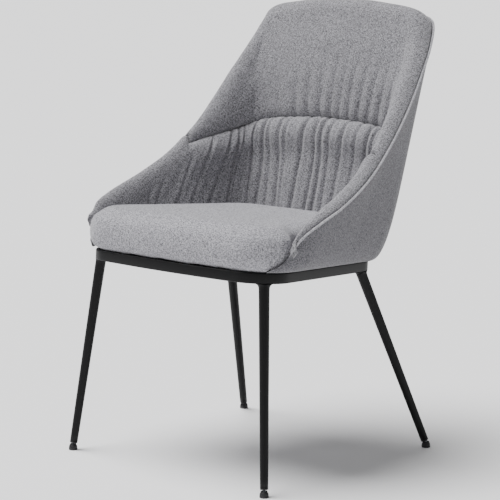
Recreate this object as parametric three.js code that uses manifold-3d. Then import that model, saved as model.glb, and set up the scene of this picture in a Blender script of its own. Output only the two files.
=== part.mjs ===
// Upholstered tub dining chair on a welded steel frame.
// Millimetres, +Z up, the sitter looks along -Y. The origin is on the floor, under the
// middle of the chair. Every touching pair of pieces keeps the small clearance GAP.
import * as THREE from 'three';
import { mergeVertices } from 'three/addons/utils/BufferGeometryUtils.js';
import Module from 'manifold-3d';

const wasm = await Module();
wasm.setup();

// ---------- driving dimensions ----------
const GAP = 0.3;                 // clearance between pieces that touch

// seat frame: a closed ring of square tube, raked backwards
const SEAT_HEIGHT = 385;         // top of the ring above the floor, at the ring's middle
const SEAT_RAKE = 3.9;           // degrees, rear lower than front
const RING_FRONT_HALF = 245;     // half width outside, where front and side faces would meet
const RING_REAR_HALF = 175;      // the same at the rear
const RING_FRONT_Y = -221;       // front face at the corners
const RING_REAR_Y = 164;         // rear face at the corners
const RING_FRONT_BOW = 18;       // how far the front face bulges at the middle
const RING_REAR_BOW = 8;
const RING_FRONT_RADIUS = 60;    // corner radii, outside
const RING_REAR_RADIUS = 50;
const RING_TUBE = 20;            // tube width and height
const RING_EDGE = 2;             // softened edge of the tube

// legs: tapered round tubes, welded under the ring
const LEG_TOP_DIAMETER = 20;
const LEG_END_DIAMETER = 15;
const LEG_WALL = 1.6;
const LEG_END_HEIGHT = 16.5;     // open end of the tube above the floor
const FRONT_LEG_STATION = 0.7;   // place of the leg along the ring, 0 rear middle, 1 front middle
const REAR_LEG_STATION = 0.255;
const FRONT_FOOT = [252, -240];  // middle of each foot on the floor, right side
const REAR_FOOT = [243.5, 242];
const WELD_FLARE = 5;            // how far the weld fillet spreads along the ring
const WELD_HEIGHT = 9;

// swivel glides
const PLUG_LENGTH = 16;          // part of the plug inside the tube
const PLUG_FLANGE = 2;
const STUD_DIAMETER = 4.6;
const STUD_LENGTH = 14;          // from the middle of the ball up into the plug
const BALL_DIAMETER = 7.8;
const BALL_HEIGHT = 7.4;         // middle of the ball above the floor
const PAD_DIAMETER = 17;
const PAD_HEIGHT = 12;

// seat
const PAN_THICKNESS = 8;         // floor of the tub shell
const PAN_INSET = 7;             // pan edge inside the face of the ring
const BOARD_THICKNESS = 12;
const BOARD_INSET = 34;          // board edge inside the face of the ring
const CUSHION_HEIGHT = 76;       // above the ring, at the front edge
const CUSHION_CROWN = 12;        // extra height in the middle
const CUSHION_OVERHANG = 13;     // beyond the ring at the front and the front corners
const DUST_COVER_THICKNESS = 1.2;

// seat fixings
const TAB_LENGTH = 34;
const TAB_WIDTH = 30;
const TAB_THICKNESS = 3;
const TAB_STATIONS = [0.36, 0.58];
const BOLT_DIAMETER = 6;
const BOLT_HOLE_CLEARANCE = 1;
const BOLT_HEAD_DIAMETER = 11;
const BOLT_HEAD_HEIGHT = 3.5;
const BOLT_REACH = 15;           // thread above the tab
const WASHER_DIAMETER = 13;
const WASHER_THICKNESS = 1.5;
const NUT_BARREL_DIAMETER = 8.4;
const NUT_FLANGE_DIAMETER = 19;
const NUT_FLANGE_THICKNESS = 1.4;

// tub: shell, outer cover, pads
const ARM_OVERHANG = 40;         // widest point of the arms beyond the ring
const BACK_OVERHANG = 139;       // rim of the back behind the ring
const ARM_SETBACK = 42;          // arm tips behind the ring's front corners
const BACK_RISE = 472;           // rim above the ring at the middle of the back
const COVER_LAP = 7;             // lower edge of the tub beyond the ring
const COVER_THICKNESS = 3;
const SHELL_THICKNESS = 8;
const SHELL_DROP = 14;           // shell's edge below the rim
const BACK_DEPTH = 52;           // whole thickness of the back, cover to pad face
const ARM_DEPTH = 38;            // whole thickness of an arm
const TIP_DEPTH = 9;             // whole thickness at the arm tips
const ROLL_RISE = 8;             // padded roll above the rim
const ROLL_WIDTH = 26;
const SEAM_RISE = 252;           // seam between the two back pads, above the ring
const SEAM_DROP = 54;            // how far it drops from the middle to its ends
const SEAM_ARC = 1.2;            // power of the drop along the path
const SEAM_HIGHEST = 0.9;        // share of a rib at which the seam stops short of the rim
const SEAM_GAP = 2;              // between the two back pads
const PAD_TAPER = 6;             // how much thinner the pads are at the rim than at the foot
const PAD_GLUE = 2;              // glue and wadding between shell and pads
const EDGE_CLEARANCE = 1.5;      // between the shell's top edge and the pads' roll
const ROLL_CLEARANCE = 1.5;      // between the outer cover's lining and the pads' roll
const PIPING_DIAMETER = 4.4;
const PIPING_DROP = PIPING_DIAMETER + 4 * GAP; // outer cover's edge below the rim
const TIP_CLEARANCE = 4;         // how much lower that edge lies at the arm tips
const FLANGE_LIP = 10;           // shell's floor beyond the cover's lower edge, before trimming

// tub: places along the ribs, as shares from the foot to the rim
const COVER_FOOT = 0.012;
const PAD_FOOT = 0.06;
const FLOOR_FOOT = -0.05;        // shell's wall starts under the ring's plane and is cut there

// tub: ribs on each side of the middle one, and the last rib of each piece
const RIBS = 20;
const SEAM_END = 12;
const SHELL_END = 16;
const PAD_END = 18;
const PIPING_END = 19;
const FLANGE_STATION = 0.6;      // front end of the shell's floor along the ring
const OUTSIDE = 60;              // depth that reaches past every piece inside the cover

// ---------- helpers ----------
const rad = THREE.MathUtils.degToRad;
const lerp = THREE.MathUtils.lerp;
const vec = (x, y, z) => new THREE.Vector3(x, y, z);
const chair = new THREE.Group();

const finishes = {
  fabric: { color: 0xa9a8ad, roughness: 0.95, metalness: 0 },
  fabric_back: { color: 0x9b9aa0, roughness: 0.95, metalness: 0 },
  steel: { color: 0x222227, roughness: 0.5, metalness: 0.3 },
  zinc: { color: 0xb9bcc0, roughness: 0.4, metalness: 0.9 },
  plastic: { color: 0x18181a, roughness: 0.55, metalness: 0 },
  nylon: { color: 0x2c2c30, roughness: 0.5, metalness: 0 },
  plywood: { color: 0xc79a63, roughness: 0.7, metalness: 0 },
  nonwoven: { color: 0x1b1b1c, roughness: 1, metalness: 0 },
};

function addPart(name, geometry, finish, parent = chair) {
  const mesh = new THREE.Mesh(geometry, new THREE.MeshStandardMaterial(finishes[finish]));
  mesh.name = name;
  parent.add(mesh);
  return mesh;
}

// A closed surface through rows of points: each row is one closed ring. The first and the
// last row are joined when looped, or capped by flat triangles in the given plane points.
function loft(rows, { looped = false, capShape = null } = {}) {
  const count = rows[0].length;
  const positions = rows.flat().flatMap((p) => [p.x, p.y, p.z]);
  const index = [];
  const last = looped ? rows.length : rows.length - 1;
  for (let r = 0; r < last; r += 1) {
    const here = r * count;
    const next = ((r + 1) % rows.length) * count;
    for (let c = 0; c < count; c += 1) {
      const d = (c + 1) % count;
      // each four-sided face is cut along its shorter diagonal
      const near = rows[r][c].distanceTo(rows[(r + 1) % rows.length][d]);
      const far = rows[r][d].distanceTo(rows[(r + 1) % rows.length][c]);
      if (near < far) index.push(here + c, here + d, next + d, here + c, next + d, next + c);
      else index.push(here + c, here + d, next + c, here + d, next + d, next + c);
    }
  }
  if (!looped) {
    // a thousandth of a millimetre of wobble keeps the points that lie in one line
    const shape = (capShape ?? rows[0]).map((p, i) => new THREE.Vector2(
      p.x + 1e-3 * Math.sin(7 * i), p.y + 1e-3 * Math.cos(7 * i),
    ));
    const top = (rows.length - 1) * count;
    const turn = Math.sign(THREE.ShapeUtils.area(shape));
    for (const [a, b, c] of THREE.ShapeUtils.triangulateShape(shape, [])) {
      const same = Math.sign(THREE.ShapeUtils.area([shape[a], shape[b], shape[c]])) === turn;
      const [first, second] = same ? [b, c] : [c, b];
      index.push(a, second, first, top + a, top + first, top + second);
    }
  }
  const geometry = new THREE.BufferGeometry();
  geometry.setAttribute('position', new THREE.Float32BufferAttribute(positions, 3));
  geometry.setIndex(index);
  return facingOut(geometry);
}

// Turns every face round when the closed surface encloses a negative volume.
function facingOut(geometry) {
  const p = geometry.getAttribute('position');
  const index = Array.from(geometry.index.array);
  const [a, b, c] = [vec(), vec(), vec()];
  let volume = 0;
  for (let i = 0; i < index.length; i += 3) {
    a.fromBufferAttribute(p, index[i]);
    b.fromBufferAttribute(p, index[i + 1]);
    c.fromBufferAttribute(p, index[i + 2]);
    volume += a.dot(b.cross(c));
  }
  if (volume < 0) {
    for (let i = 0; i < index.length; i += 3) {
      [index[i + 1], index[i + 2]] = [index[i + 2], index[i + 1]];
    }
    geometry.setIndex(index);
  }
  return geometry;
}

function toSolid(geometry, matrix = null) {
  const bare = geometry.clone();
  bare.deleteAttribute('normal');
  bare.deleteAttribute('uv');
  if (matrix) bare.applyMatrix4(matrix);
  const merged = mergeVertices(bare, 1e-4);
  return new wasm.Manifold(new wasm.Mesh({
    numProp: 3,
    vertProperties: Float32Array.from(merged.getAttribute('position').array),
    triVerts: Uint32Array.from(merged.index.array),
  }));
}

function toGeometry(solid) {
  const mesh = solid.getMesh();
  const geometry = new THREE.BufferGeometry();
  geometry.setAttribute('position', new THREE.Float32BufferAttribute(mesh.vertProperties, 3));
  geometry.setIndex(Array.from(mesh.triVerts));
  return geometry;
}

// A turned piece: profile points are [radius, height] from bottom to top.
function turned(profile, segments = 24) {
  const points = profile.map(([r, z]) => new THREE.Vector2(r, z));
  const lathe = new THREE.LatheGeometry(points, segments);
  return lathe.rotateX(Math.PI / 2);
}

// ---------- seat outline ----------
// Rounded trapezoid, counter-clockwise from above, starting at the front middle. The front
// and the rear face are bowed, and grow moves the whole line outwards.
function seatOutline(grow, arcSteps = 7, edgeSteps = 4) {
  const corners = [
    { at: new THREE.Vector2(RING_FRONT_HALF, RING_FRONT_Y), radius: RING_FRONT_RADIUS },
    { at: new THREE.Vector2(RING_REAR_HALF, RING_REAR_Y), radius: RING_REAR_RADIUS },
    { at: new THREE.Vector2(-RING_REAR_HALF, RING_REAR_Y), radius: RING_REAR_RADIUS },
    { at: new THREE.Vector2(-RING_FRONT_HALF, RING_FRONT_Y), radius: RING_FRONT_RADIUS },
  ];
  const points = [];
  corners.forEach(({ at, radius }, i) => {
    const before = at.clone().sub(corners[(i + 3) % 4].at).normalize();
    const after = corners[(i + 1) % 4].at.clone().sub(at).normalize();
    const from = Math.atan2(-before.x, before.y);
    let turn = Math.atan2(-after.x, after.y) - from;
    if (turn < 0) turn += 2 * Math.PI;
    const inward = after.clone().sub(before).normalize();
    const centre = at.clone().addScaledVector(inward, radius / Math.cos(turn / 2));
    for (let k = 0; k <= arcSteps; k += 1) {
      const angle = from + (turn * k) / arcSteps;
      points.push(new THREE.Vector2(
        centre.x + (radius + grow) * Math.cos(angle),
        centre.y + (radius + grow) * Math.sin(angle),
      ));
    }
  });
  const full = points.flatMap((p, i) => {
    const q = points[(i + 1) % points.length];
    const parts = (i + 1) % (arcSteps + 1) === 0 ? edgeSteps : 1;
    return Array.from({ length: parts }, (_, k) => p.clone().lerp(q, k / parts));
  });
  const start = full.length - Math.ceil(edgeSteps / 2);
  return full.map((_, i) => bowed(full[(start + i) % full.length]));
}

function bowed(p) {
  const front = p.y < 0;
  const half = front ? RING_FRONT_HALF : RING_REAR_HALF;
  const reach = front ? p.y / RING_FRONT_Y : p.y / RING_REAR_Y;
  const bow = front ? -RING_FRONT_BOW : RING_REAR_BOW;
  const across = Math.max(0, 1 - (p.x / half) ** 2);
  return new THREE.Vector2(p.x, p.y + bow * across * Math.min(1, reach * reach));
}

// A point on the right half of the outline and its outward direction: station 0 is the
// rear middle and station 1 the front middle.
function outlineAt(station, grow) {
  const line = seatOutline(grow, 10, 8);
  const half = line.slice(0, line.length / 2 + 1).reverse();
  const lengths = half.map((p, i) => (i ? p.distanceTo(half[i - 1]) : 0));
  const total = lengths.reduce((a, b) => a + b, 0);
  let left = station * total;
  let i = 1;
  while (i < half.length - 1 && left > lengths[i]) {
    left -= lengths[i];
    i += 1;
  }
  const along = half[i].clone().sub(half[i - 1]).normalize();
  const at = half[i - 1].clone().addScaledVector(along, left);
  return { at, along, out: new THREE.Vector2(-along.y, along.x) };
}

// Height of the ring's top face above the floor.
const seatPlane = (y) => SEAT_HEIGHT - Math.tan(rad(SEAT_RAKE)) * y;

// Everything of the seat lies in this raked group: its z = 0 is the ring's top face.
const seat = new THREE.Group();
seat.position.z = SEAT_HEIGHT;
seat.rotation.x = -rad(SEAT_RAKE);
chair.add(seat);
seat.updateMatrixWorld(true);

// A flat slab with the seat's outline, between two heights.
function seatSlab(grow, low, high) {
  const line = seatOutline(grow);
  return loft([low, high].map((z) => line.map((p) => vec(p.x, p.y, z))));
}

// ---------- seat ring ----------
function ringGeometry() {
  const half = RING_TUBE / 2;
  const soft = RING_EDGE;
  const section = [
    [-half, -half + soft], [-half, half - soft], [-half + soft, half], [half - soft, half],
    [half, half - soft], [half, -half + soft], [half - soft, -half], [-half + soft, -half],
  ];
  const rows = section.map(([across, up]) => seatOutline(across - RING_TUBE / 2)
    .map((p) => vec(p.x, p.y, up - RING_TUBE / 2)));
  return loft(rows, { looped: true });
}

addPart('seat_ring', ringGeometry(), 'steel', seat);

// ---------- legs, weld fillets and glides ----------
// The legs are made in chair coordinates, each along its own axis from foot to ring.
function legAxis(station, foot, side) {
  const { at, along } = outlineAt(station, -RING_TUBE / 2);
  const top = vec(at.x * side, at.y, -RING_TUBE).applyMatrix4(seat.matrixWorld);
  const ball = vec(foot[0] * side, foot[1], BALL_HEIGHT);
  const axis = top.clone().sub(ball).normalize();
  return { top, ball, axis, along: vec(along.x * side, along.y, 0) };
}

function placedAlong(axis, origin) {
  const turn = new THREE.Quaternion().setFromUnitVectors(vec(0, 0, 1), axis);
  return new THREE.Matrix4().compose(origin, turn, vec(1, 1, 1));
}

function legSolid({ top, ball, axis, along }) {
  const length = top.distanceTo(ball);
  const start = (LEG_END_HEIGHT - BALL_HEIGHT) / axis.z;
  const end = LEG_END_DIAMETER / 2;
  const wide = LEG_TOP_DIAMETER / 2;
  const past = RING_TUBE;
  const cap = 6;
  const tube = turned([
    [end - LEG_WALL, start], [end, start], [wide, length], [wide, length + past],
    [0, length + past], [0, length - cap], [wide - LEG_WALL, length - cap],
    [end - LEG_WALL, start],
  ], 20);
  const placed = placedAlong(axis, ball);
  // weld fillet: a low cone stretched along the ring, cut off flat by the ring's underside
  const weld = turned([
    [0, -WELD_HEIGHT], [wide * 0.96, -WELD_HEIGHT], [wide + WELD_FLARE * 0.2, -WELD_HEIGHT * 0.45],
    [wide + WELD_FLARE, 0], [wide + WELD_FLARE, 2], [0, 2],
  ], 20);
  const squeeze = RING_TUBE / (2 * (wide + WELD_FLARE));
  const heading = Math.atan2(along.y, along.x);
  const weldPlace = new THREE.Matrix4().makeTranslation(top.x, top.y, top.z)
    .multiply(new THREE.Matrix4().makeRotationX(-rad(SEAT_RAKE)))
    .multiply(new THREE.Matrix4().makeRotationZ(heading))
    .multiply(new THREE.Matrix4().makeScale(1, squeeze, 1));
  const above = new THREE.BoxGeometry(400, 400, 100).translate(0, 0, 50 - RING_TUBE - GAP);
  const cut = new THREE.Matrix4().makeTranslation(0, 0, SEAT_HEIGHT)
    .multiply(new THREE.Matrix4().makeRotationX(-rad(SEAT_RAKE)))
    .multiply(new THREE.Matrix4().makeTranslation(top.x, top.y, 0));
  return toSolid(tube, placed).add(toSolid(weld, weldPlace)).subtract(toSolid(above, cut));
}

// Plastic plug pushed into the open end of the leg, with a blind hole for the stud.
function plugGeometry(start) {
  const inside = LEG_END_DIAMETER / 2 - LEG_WALL - GAP;
  const outside = LEG_END_DIAMETER / 2;
  const hole = STUD_DIAMETER / 2 + GAP;
  return turned([
    [hole, start - GAP - PLUG_FLANGE], [outside, start - GAP - PLUG_FLANGE],
    [outside, start - GAP], [inside, start - GAP], [inside, start + PLUG_LENGTH],
    [0, start + PLUG_LENGTH], [0, STUD_LENGTH + 1], [hole, STUD_LENGTH + 1],
    [hole, start - GAP - PLUG_FLANGE],
  ], 12);
}

// Steel stud with the ball on its lower end, ball middle at the origin.
function studGeometry() {
  const ball = BALL_DIAMETER / 2;
  const neck = STUD_DIAMETER / 2;
  const open = Math.acos(neck / ball);
  const arc = Array.from({ length: 7 }, (_, k) => {
    const a = lerp(-Math.PI / 2, open, k / 6);
    return [k ? ball * Math.cos(a) : 0, ball * Math.sin(a)];
  });
  return turned([...arc, [neck, STUD_LENGTH], [0, STUD_LENGTH]], 12);
}

// Bell-shaped foot that snaps over the ball, ball middle at the origin.
function padGeometry() {
  const base = PAD_DIAMETER / 2;
  const socket = BALL_DIAMETER / 2 + GAP + 0.1;
  const top = PAD_HEIGHT - BALL_HEIGHT;
  const mouth = rad(28);         // the bowl closes over the ball up to this angle
  const bowl = Array.from({ length: 6 }, (_, k) => {
    const a = lerp(mouth, -Math.PI / 2, k / 5);
    return [k < 5 ? socket * Math.cos(a) : 0, socket * Math.sin(a)];
  });
  return turned([
    [0, -BALL_HEIGHT], [base - 0.8, -BALL_HEIGHT], [base, -BALL_HEIGHT + 0.8],
    [base, -BALL_HEIGHT + 2.6], [base - 1.2, -1.2], [base - 1.8, top - 1.2],
    [base - 2.2, top], [socket + 1.2, top], ...bowl,
  ], 12);
}

for (const [sideName, side] of [['left', -1], ['right', 1]]) {
  for (const [rowName, station, foot] of [
    ['front', FRONT_LEG_STATION, FRONT_FOOT], ['rear', REAR_LEG_STATION, REAR_FOOT],
  ]) {
    const leg = legAxis(station, foot, side);
    const start = (LEG_END_HEIGHT - BALL_HEIGHT) / leg.axis.z;
    const label = `${rowName}_${sideName}`;
    addPart(`leg_${label}`, toGeometry(legSolid(leg)), 'steel');
    const glide = new THREE.Group();
    glide.applyMatrix4(placedAlong(leg.axis, leg.ball));
    chair.add(glide);
    addPart(`glide_plug_${label}`, plugGeometry(start), 'plastic', glide);
    addPart(`glide_stud_${label}`, studGeometry(), 'zinc', glide);
    const pad = addPart(`glide_pad_${label}`, padGeometry(), 'plastic');
    pad.position.copy(leg.ball);
  }
}

// ---------- seat fixings ----------
// Tabs welded inside the ring, each with a bolt and washer from below into a tee nut that
// sits in the board. They are made for one tab and repeated on both sides.
const nutHole = NUT_BARREL_DIAMETER / 2 + GAP;
const boltHole = (BOLT_DIAMETER + BOLT_HOLE_CLEARANCE) / 2;
const tabTop = -GAP;
const boardLow = PAN_THICKNESS + 2 * GAP;
const boardTop = boardLow + BOARD_THICKNESS;

function cylinder(radius, low, high, x, y, segments = 16) {
  const round = new THREE.CylinderGeometry(radius, radius, high - low, segments);
  return round.rotateX(Math.PI / 2).translate(x, y, (low + high) / 2);
}

function tabPlaces() {
  return TAB_STATIONS.flatMap((station, i) => [-1, 1].map((side) => {
    const row = i ? 'front' : 'rear';
    const { at, out } = outlineAt(station, -RING_TUBE - GAP);
    const outward = new THREE.Vector2(out.x * side, out.y);
    const edge = new THREE.Vector2(at.x * side, at.y);
    const middle = edge.clone().addScaledVector(outward, -TAB_LENGTH / 2 - 1);
    const bolt = edge.clone().addScaledVector(outward, -TAB_LENGTH + 12);
    return { label: `${row}_${side < 0 ? 'left' : 'right'}`, outward, middle, bolt };
  }));
}

const tabs = tabPlaces();

function tabGeometry({ outward, middle, bolt }) {
  const plate = new THREE.BoxGeometry(TAB_LENGTH, TAB_WIDTH, TAB_THICKNESS);
  plate.rotateZ(Math.atan2(outward.y, outward.x));
  plate.translate(middle.x, middle.y, tabTop - TAB_THICKNESS / 2);
  const hole = cylinder(boltHole, -TAB_THICKNESS - 2, 2, bolt.x, bolt.y);
  return toGeometry(toSolid(plate).subtract(toSolid(hole)));
}

// Notch that clears a tab and everything between it and the ring.
function tabNotch({ outward, middle }) {
  const clear = 2 * GAP;
  const notch = new THREE.BoxGeometry(2 * TAB_LENGTH, TAB_WIDTH + 2 * clear, 4 * TAB_THICKNESS);
  notch.translate(TAB_LENGTH / 2 - clear, 0, 0);
  notch.rotateZ(Math.atan2(outward.y, outward.x));
  return toSolid(notch.translate(middle.x, middle.y, 0));
}

for (const tab of tabs) {
  const { label, bolt } = tab;
  const washerTop = tabTop - TAB_THICKNESS - GAP;
  const headTop = washerTop - WASHER_THICKNESS - GAP;
  const place = (geometry) => geometry.translate(bolt.x, bolt.y, 0);
  addPart(`seat_tab_${label}`, tabGeometry(tab), 'steel', seat);
  addPart(`seat_washer_${label}`, place(turned([
    [boltHole, washerTop - WASHER_THICKNESS], [WASHER_DIAMETER / 2, washerTop - WASHER_THICKNESS],
    [WASHER_DIAMETER / 2, washerTop], [boltHole, washerTop],
    [boltHole, washerTop - WASHER_THICKNESS],
  ], 12)), 'zinc', seat);
  addPart(`seat_bolt_${label}`, place(turned([
    [0, headTop - BOLT_HEAD_HEIGHT], [BOLT_HEAD_DIAMETER * 0.36, headTop - BOLT_HEAD_HEIGHT],
    [BOLT_HEAD_DIAMETER / 2, headTop - BOLT_HEAD_HEIGHT * 0.4], [BOLT_HEAD_DIAMETER / 2, headTop],
    [BOLT_DIAMETER / 2, headTop], [BOLT_DIAMETER / 2, BOLT_REACH], [0, BOLT_REACH],
  ], 12)), 'zinc', seat);
}

function nutGeometry({ bolt }, grow = 0) {
  const bore = BOLT_DIAMETER / 2 + GAP;
  const barrel = NUT_BARREL_DIAMETER / 2 + grow;
  const flange = NUT_FLANGE_DIAMETER / 2 + grow;
  const low = boardTop - BOARD_THICKNESS + 3;
  const under = boardTop + GAP - grow;
  const top = boardTop + GAP + NUT_FLANGE_THICKNESS + grow;
  const profile = grow
    ? [[0, under], [flange, under], [flange, top], [0, top]]
    : [[bore, low], [barrel, low], [barrel, under], [flange, under], [flange, top],
      [bore, top], [bore, low]];
  return turned(profile, 12).translate(bolt.x, bolt.y, 0);
}

// ---------- seat board, cushion and dust cover ----------
let boardSolid = toSolid(seatSlab(-BOARD_INSET, boardLow, boardTop));
for (const tab of tabs) {
  addPart(`tee_nut_${tab.label}`, nutGeometry(tab), 'zinc', seat);
  const hole = cylinder(nutHole, boardLow - 2, boardTop + 2, tab.bolt.x, tab.bolt.y);
  boardSolid = boardSolid.subtract(toSolid(hole));
}
addPart('seat_board', toGeometry(boardSolid), 'plywood', seat);

let dustSolid = toSolid(seatSlab(-RING_TUBE - 2 * GAP, -GAP - DUST_COVER_THICKNESS, -GAP));
for (const tab of tabs) dustSolid = dustSolid.subtract(tabNotch(tab));
addPart('dust_cover', toGeometry(dustSolid), 'nonwoven', seat);

// Rounded cushion: the outline grows and shrinks with height, and the middle is crowned.
function cushionGeometry(grow = 0) {
  const low = GAP - grow;
  const levels = [
    [-4, 0], [3, 0.05], [9, 0.18], [CUSHION_OVERHANG, 0.42], [10, 0.72], [2, 0.9], [-14, 1],
  ];
  const inner = [0.72, 0.4, 0.12];
  const rows = levels.map(([out, up]) => seatOutline(out + grow, 5, 3)
    .map((p) => vec(p.x, p.y, low + up * (CUSHION_HEIGHT + 2 * grow))));
  const rim = rows[rows.length - 1];
  for (const share of inner) {
    const lift = CUSHION_CROWN * (1 - share * share);
    rows.push(rim.map((p) => vec(p.x * share, p.y * share, p.z + lift)));
  }
  return loft(rows);
}

// Flange of the tub shell: a slab on the ring, behind the arm tips.
function flangeSlab(reach, grow = 0) {
  const from = outlineAt(FLANGE_STATION, 0).at.y - grow;
  const wide = 2 * RING_FRONT_HALF + 200;
  const behind = new THREE.BoxGeometry(wide, wide, 200).translate(0, from + wide / 2, 0);
  return toSolid(seatSlab(reach + grow, 2 * GAP - grow, PAN_THICKNESS + grow))
    .intersect(toSolid(behind));
}

const pocketTop = boardTop + GAP;
let cushionSolid = toSolid(cushionGeometry());
cushionSolid = cushionSolid
  .subtract(toSolid(seatSlab(-PAN_INSET + GAP, -5, boardLow)))
  .subtract(flangeSlab(COVER_LAP + FLANGE_LIP, GAP))
  .subtract(toSolid(seatSlab(-BOARD_INSET + GAP, -5, pocketTop)));
for (const tab of tabs) {
  cushionSolid = cushionSolid.subtract(toSolid(nutGeometry(tab, GAP)));
  const thread = cylinder(nutHole, boardTop, BOLT_REACH + 6, tab.bolt.x, tab.bolt.y);
  cushionSolid = cushionSolid.subtract(toSolid(thread));
}
addPart('seat_cushion', toGeometry(cushionSolid), 'fabric', seat);

// ---------- tub ----------
// Right half of the outer surface, from the middle of the back to the arm tip. Each station
// is a rib: its rim point, as shares of half width, depth and height of the tub, its place
// along the ring, and how far the rib swells at its foot and at its belly.
const STATIONS = [
  { rim: [0, 1, 1], foot: 0, knuckle: 30, belly: 3 },
  { rim: [0.37, 1, 0.986], foot: 0.093, knuckle: 30, belly: 4 },
  { rim: [0.62, 0.998, 0.966], foot: 0.167, knuckle: 34, belly: 5 },
  { rim: [0.735, 0.98, 0.94], foot: 0.22, knuckle: 41, belly: 6 },
  { rim: [0.795, 0.925, 0.858], foot: 0.265, knuckle: 46, belly: 7 },
  { rim: [0.842, 0.83, 0.739], foot: 0.32, knuckle: 47, belly: 8 },
  { rim: [0.878, 0.715, 0.598], foot: 0.38, knuckle: 44, belly: 8 },
  { rim: [0.902, 0.583, 0.458], foot: 0.44, knuckle: 40, belly: 8 },
  { rim: [0.935, 0.44, 0.349], foot: 0.5, knuckle: 38, belly: 9 },
  { rim: [0.97, 0.26, 0.262], foot: 0.565, knuckle: 35, belly: 9 },
  { rim: [0.985, 0.125, 0.216], foot: 0.625, knuckle: 29, belly: 8 },
  { rim: [0.955, 0.035, 0.163], foot: 0.667, knuckle: 19, belly: 4 },
  { rim: [0.89, 0, 0.077], foot: 0.7, knuckle: 8, belly: 2 },
];
const tubHalf = RING_FRONT_HALF + ARM_OVERHANG;
const tubRear = RING_REAR_Y + BACK_OVERHANG;
const tubFront = RING_FRONT_Y + ARM_SETBACK;

function guideCurves() {
  const right = STATIONS.map(({ rim, foot, knuckle, belly }) => {
    const edgeY = lerp(tubFront, tubRear, rim[1]);
    const edge = vec(rim[0] * tubHalf, edgeY, SEAT_HEIGHT + rim[2] * BACK_RISE);
    const { at, out } = outlineAt(foot, COVER_LAP);
    const low = vec(at.x, at.y, seatPlane(at.y) + 2 * GAP);
    const outward = vec(out.x, out.y, 0);
    const swell = low.clone().addScaledVector(outward, knuckle).add(vec(0, 0, 4));
    const middle = low.clone().lerp(edge, 0.5).addScaledVector(outward, belly);
    return [low, swell, middle, edge];
  });
  const mirrored = right.slice(1).reverse()
    .map((rib) => rib.map((p) => vec(-p.x, p.y, p.z)));
  const all = [...mirrored, ...right];
  return [0, 1, 2, 3].map((k) => new THREE.CatmullRomCurve3(all.map((rib) => rib[k])));
}

const guides = guideCurves();

// Point of the outer surface: side runs from -1 at the left arm tip to 1 at the right one,
// and up from 0 at the foot to 1 at the rim. Each rib is a cubic curve.
function tubPoint(side, up) {
  const along = THREE.MathUtils.clamp((side + 1) / 2, 0, 1);
  const [a, b, c, d] = guides.map((guide) => guide.getPoint(along));
  const down = 1 - up;
  return a.multiplyScalar(down ** 3)
    .addScaledVector(b, 3 * down * down * up)
    .addScaledVector(c, 3 * down * up * up)
    .addScaledVector(d, up ** 3);
}

// The same point moved inwards, at right angles to the surface.
function tubInside(side, up, depth) {
  const e = 1e-3;
  const s = THREE.MathUtils.clamp(side, -1 + e, 1 - e);
  const across = tubPoint(s + e, up).sub(tubPoint(s - e, up));
  const rise = tubPoint(s, up + e).sub(tubPoint(s, up - e));
  const inward = across.cross(rise).normalize();
  return tubPoint(side, up).addScaledVector(inward, depth);
}

// Whole thickness of the tub along the path: back, arms, then down to the tips.
function tubDepth(side) {
  const t = Math.abs(side);
  const back = lerp(BACK_DEPTH, ARM_DEPTH, THREE.MathUtils.smoothstep(t, 0.3, 0.75));
  return lerp(back, TIP_DEPTH, THREE.MathUtils.smoothstep(t, 0.88, 1.02));
}

// Share of the rib at which it reaches a height above the floor.
function upAtHeight(side, height) {
  let [low, high] = [0, 1];
  for (let i = 0; i < 24; i += 1) {
    const middle = (low + high) / 2;
    if (tubPoint(side, middle).z < height) low = middle;
    else high = middle;
  }
  return low;
}

// Every piece of the tub has its points on the same ribs and, along each rib, on the same
// rungs, so that layers that lie on each other keep their clearance. The seam is one of the
// rungs: level across the back and dropping towards the arms.
const ribs = Array.from({ length: 2 * RIBS + 1 }, (_, i) => {
  const side = (i - RIBS) / RIBS;
  const reach = tubPoint(side, 0).distanceTo(tubPoint(side, 1));
  // growth of the distance from the rim, at right angles to it, for each share of the rib
  const step = 1e-3;
  const near = THREE.MathUtils.clamp(side, step - 1, 1 - step);
  const rimward = tubPoint(near, 1).sub(tubPoint(near, 1 - step)).divideScalar(step);
  const alongRim = tubPoint(near + step, 1).sub(tubPoint(near - step, 1)).normalize();
  const rate = rimward.cross(alongRim).length();
  const wallTop = 1 - SHELL_DROP / rate;
  const drop = SEAM_DROP * (Math.abs(i - RIBS) / SEAM_END) ** SEAM_ARC;
  const level = upAtHeight(side, SEAT_HEIGHT + SEAM_RISE - drop);
  const highest = lerp(PAD_FOOT, wallTop, SEAM_HIGHEST);
  const seam = Math.abs(i - RIBS) > SEAM_END ? highest : Math.min(level, highest);
  return {
    side,
    reach,
    rate,
    seam,
    low: [0, 0.1, 0.25, 0.5, 1].map((t) => lerp(PAD_FOOT, seam, t)),
    high: [0, 0.33, 0.67, 1].map((t) => lerp(seam, wallTop, t)),
    depth: tubDepth(side),
  };
});

// A piece of the tub from one rib to another, counted from the middle of the back. The
// profile is a closed ring of [share of the rib, depth] points.
function tubPiece(profile, first, last) {
  const used = ribs.slice(RIBS + first, RIBS + last + 1);
  const rows = used.map((rib) => profile(rib).map(([up, depth]) => (
    tubInside(rib.side, up, depth)
  )));
  const end = used[used.length - 1];
  const capShape = profile(end).map(([up, depth]) => new THREE.Vector2(up * end.reach, depth));
  return loft(rows, { capShape });
}

const shellOuter = COVER_THICKNESS + GAP;
const shellInner = shellOuter + SHELL_THICKNESS;
const padOuter = shellInner + PAD_GLUE;
const below = (rib, distance) => 1 - distance / rib.rate;
const wallRungs = ({ low, high }) => [...low, ...high.slice(1)];
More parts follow.
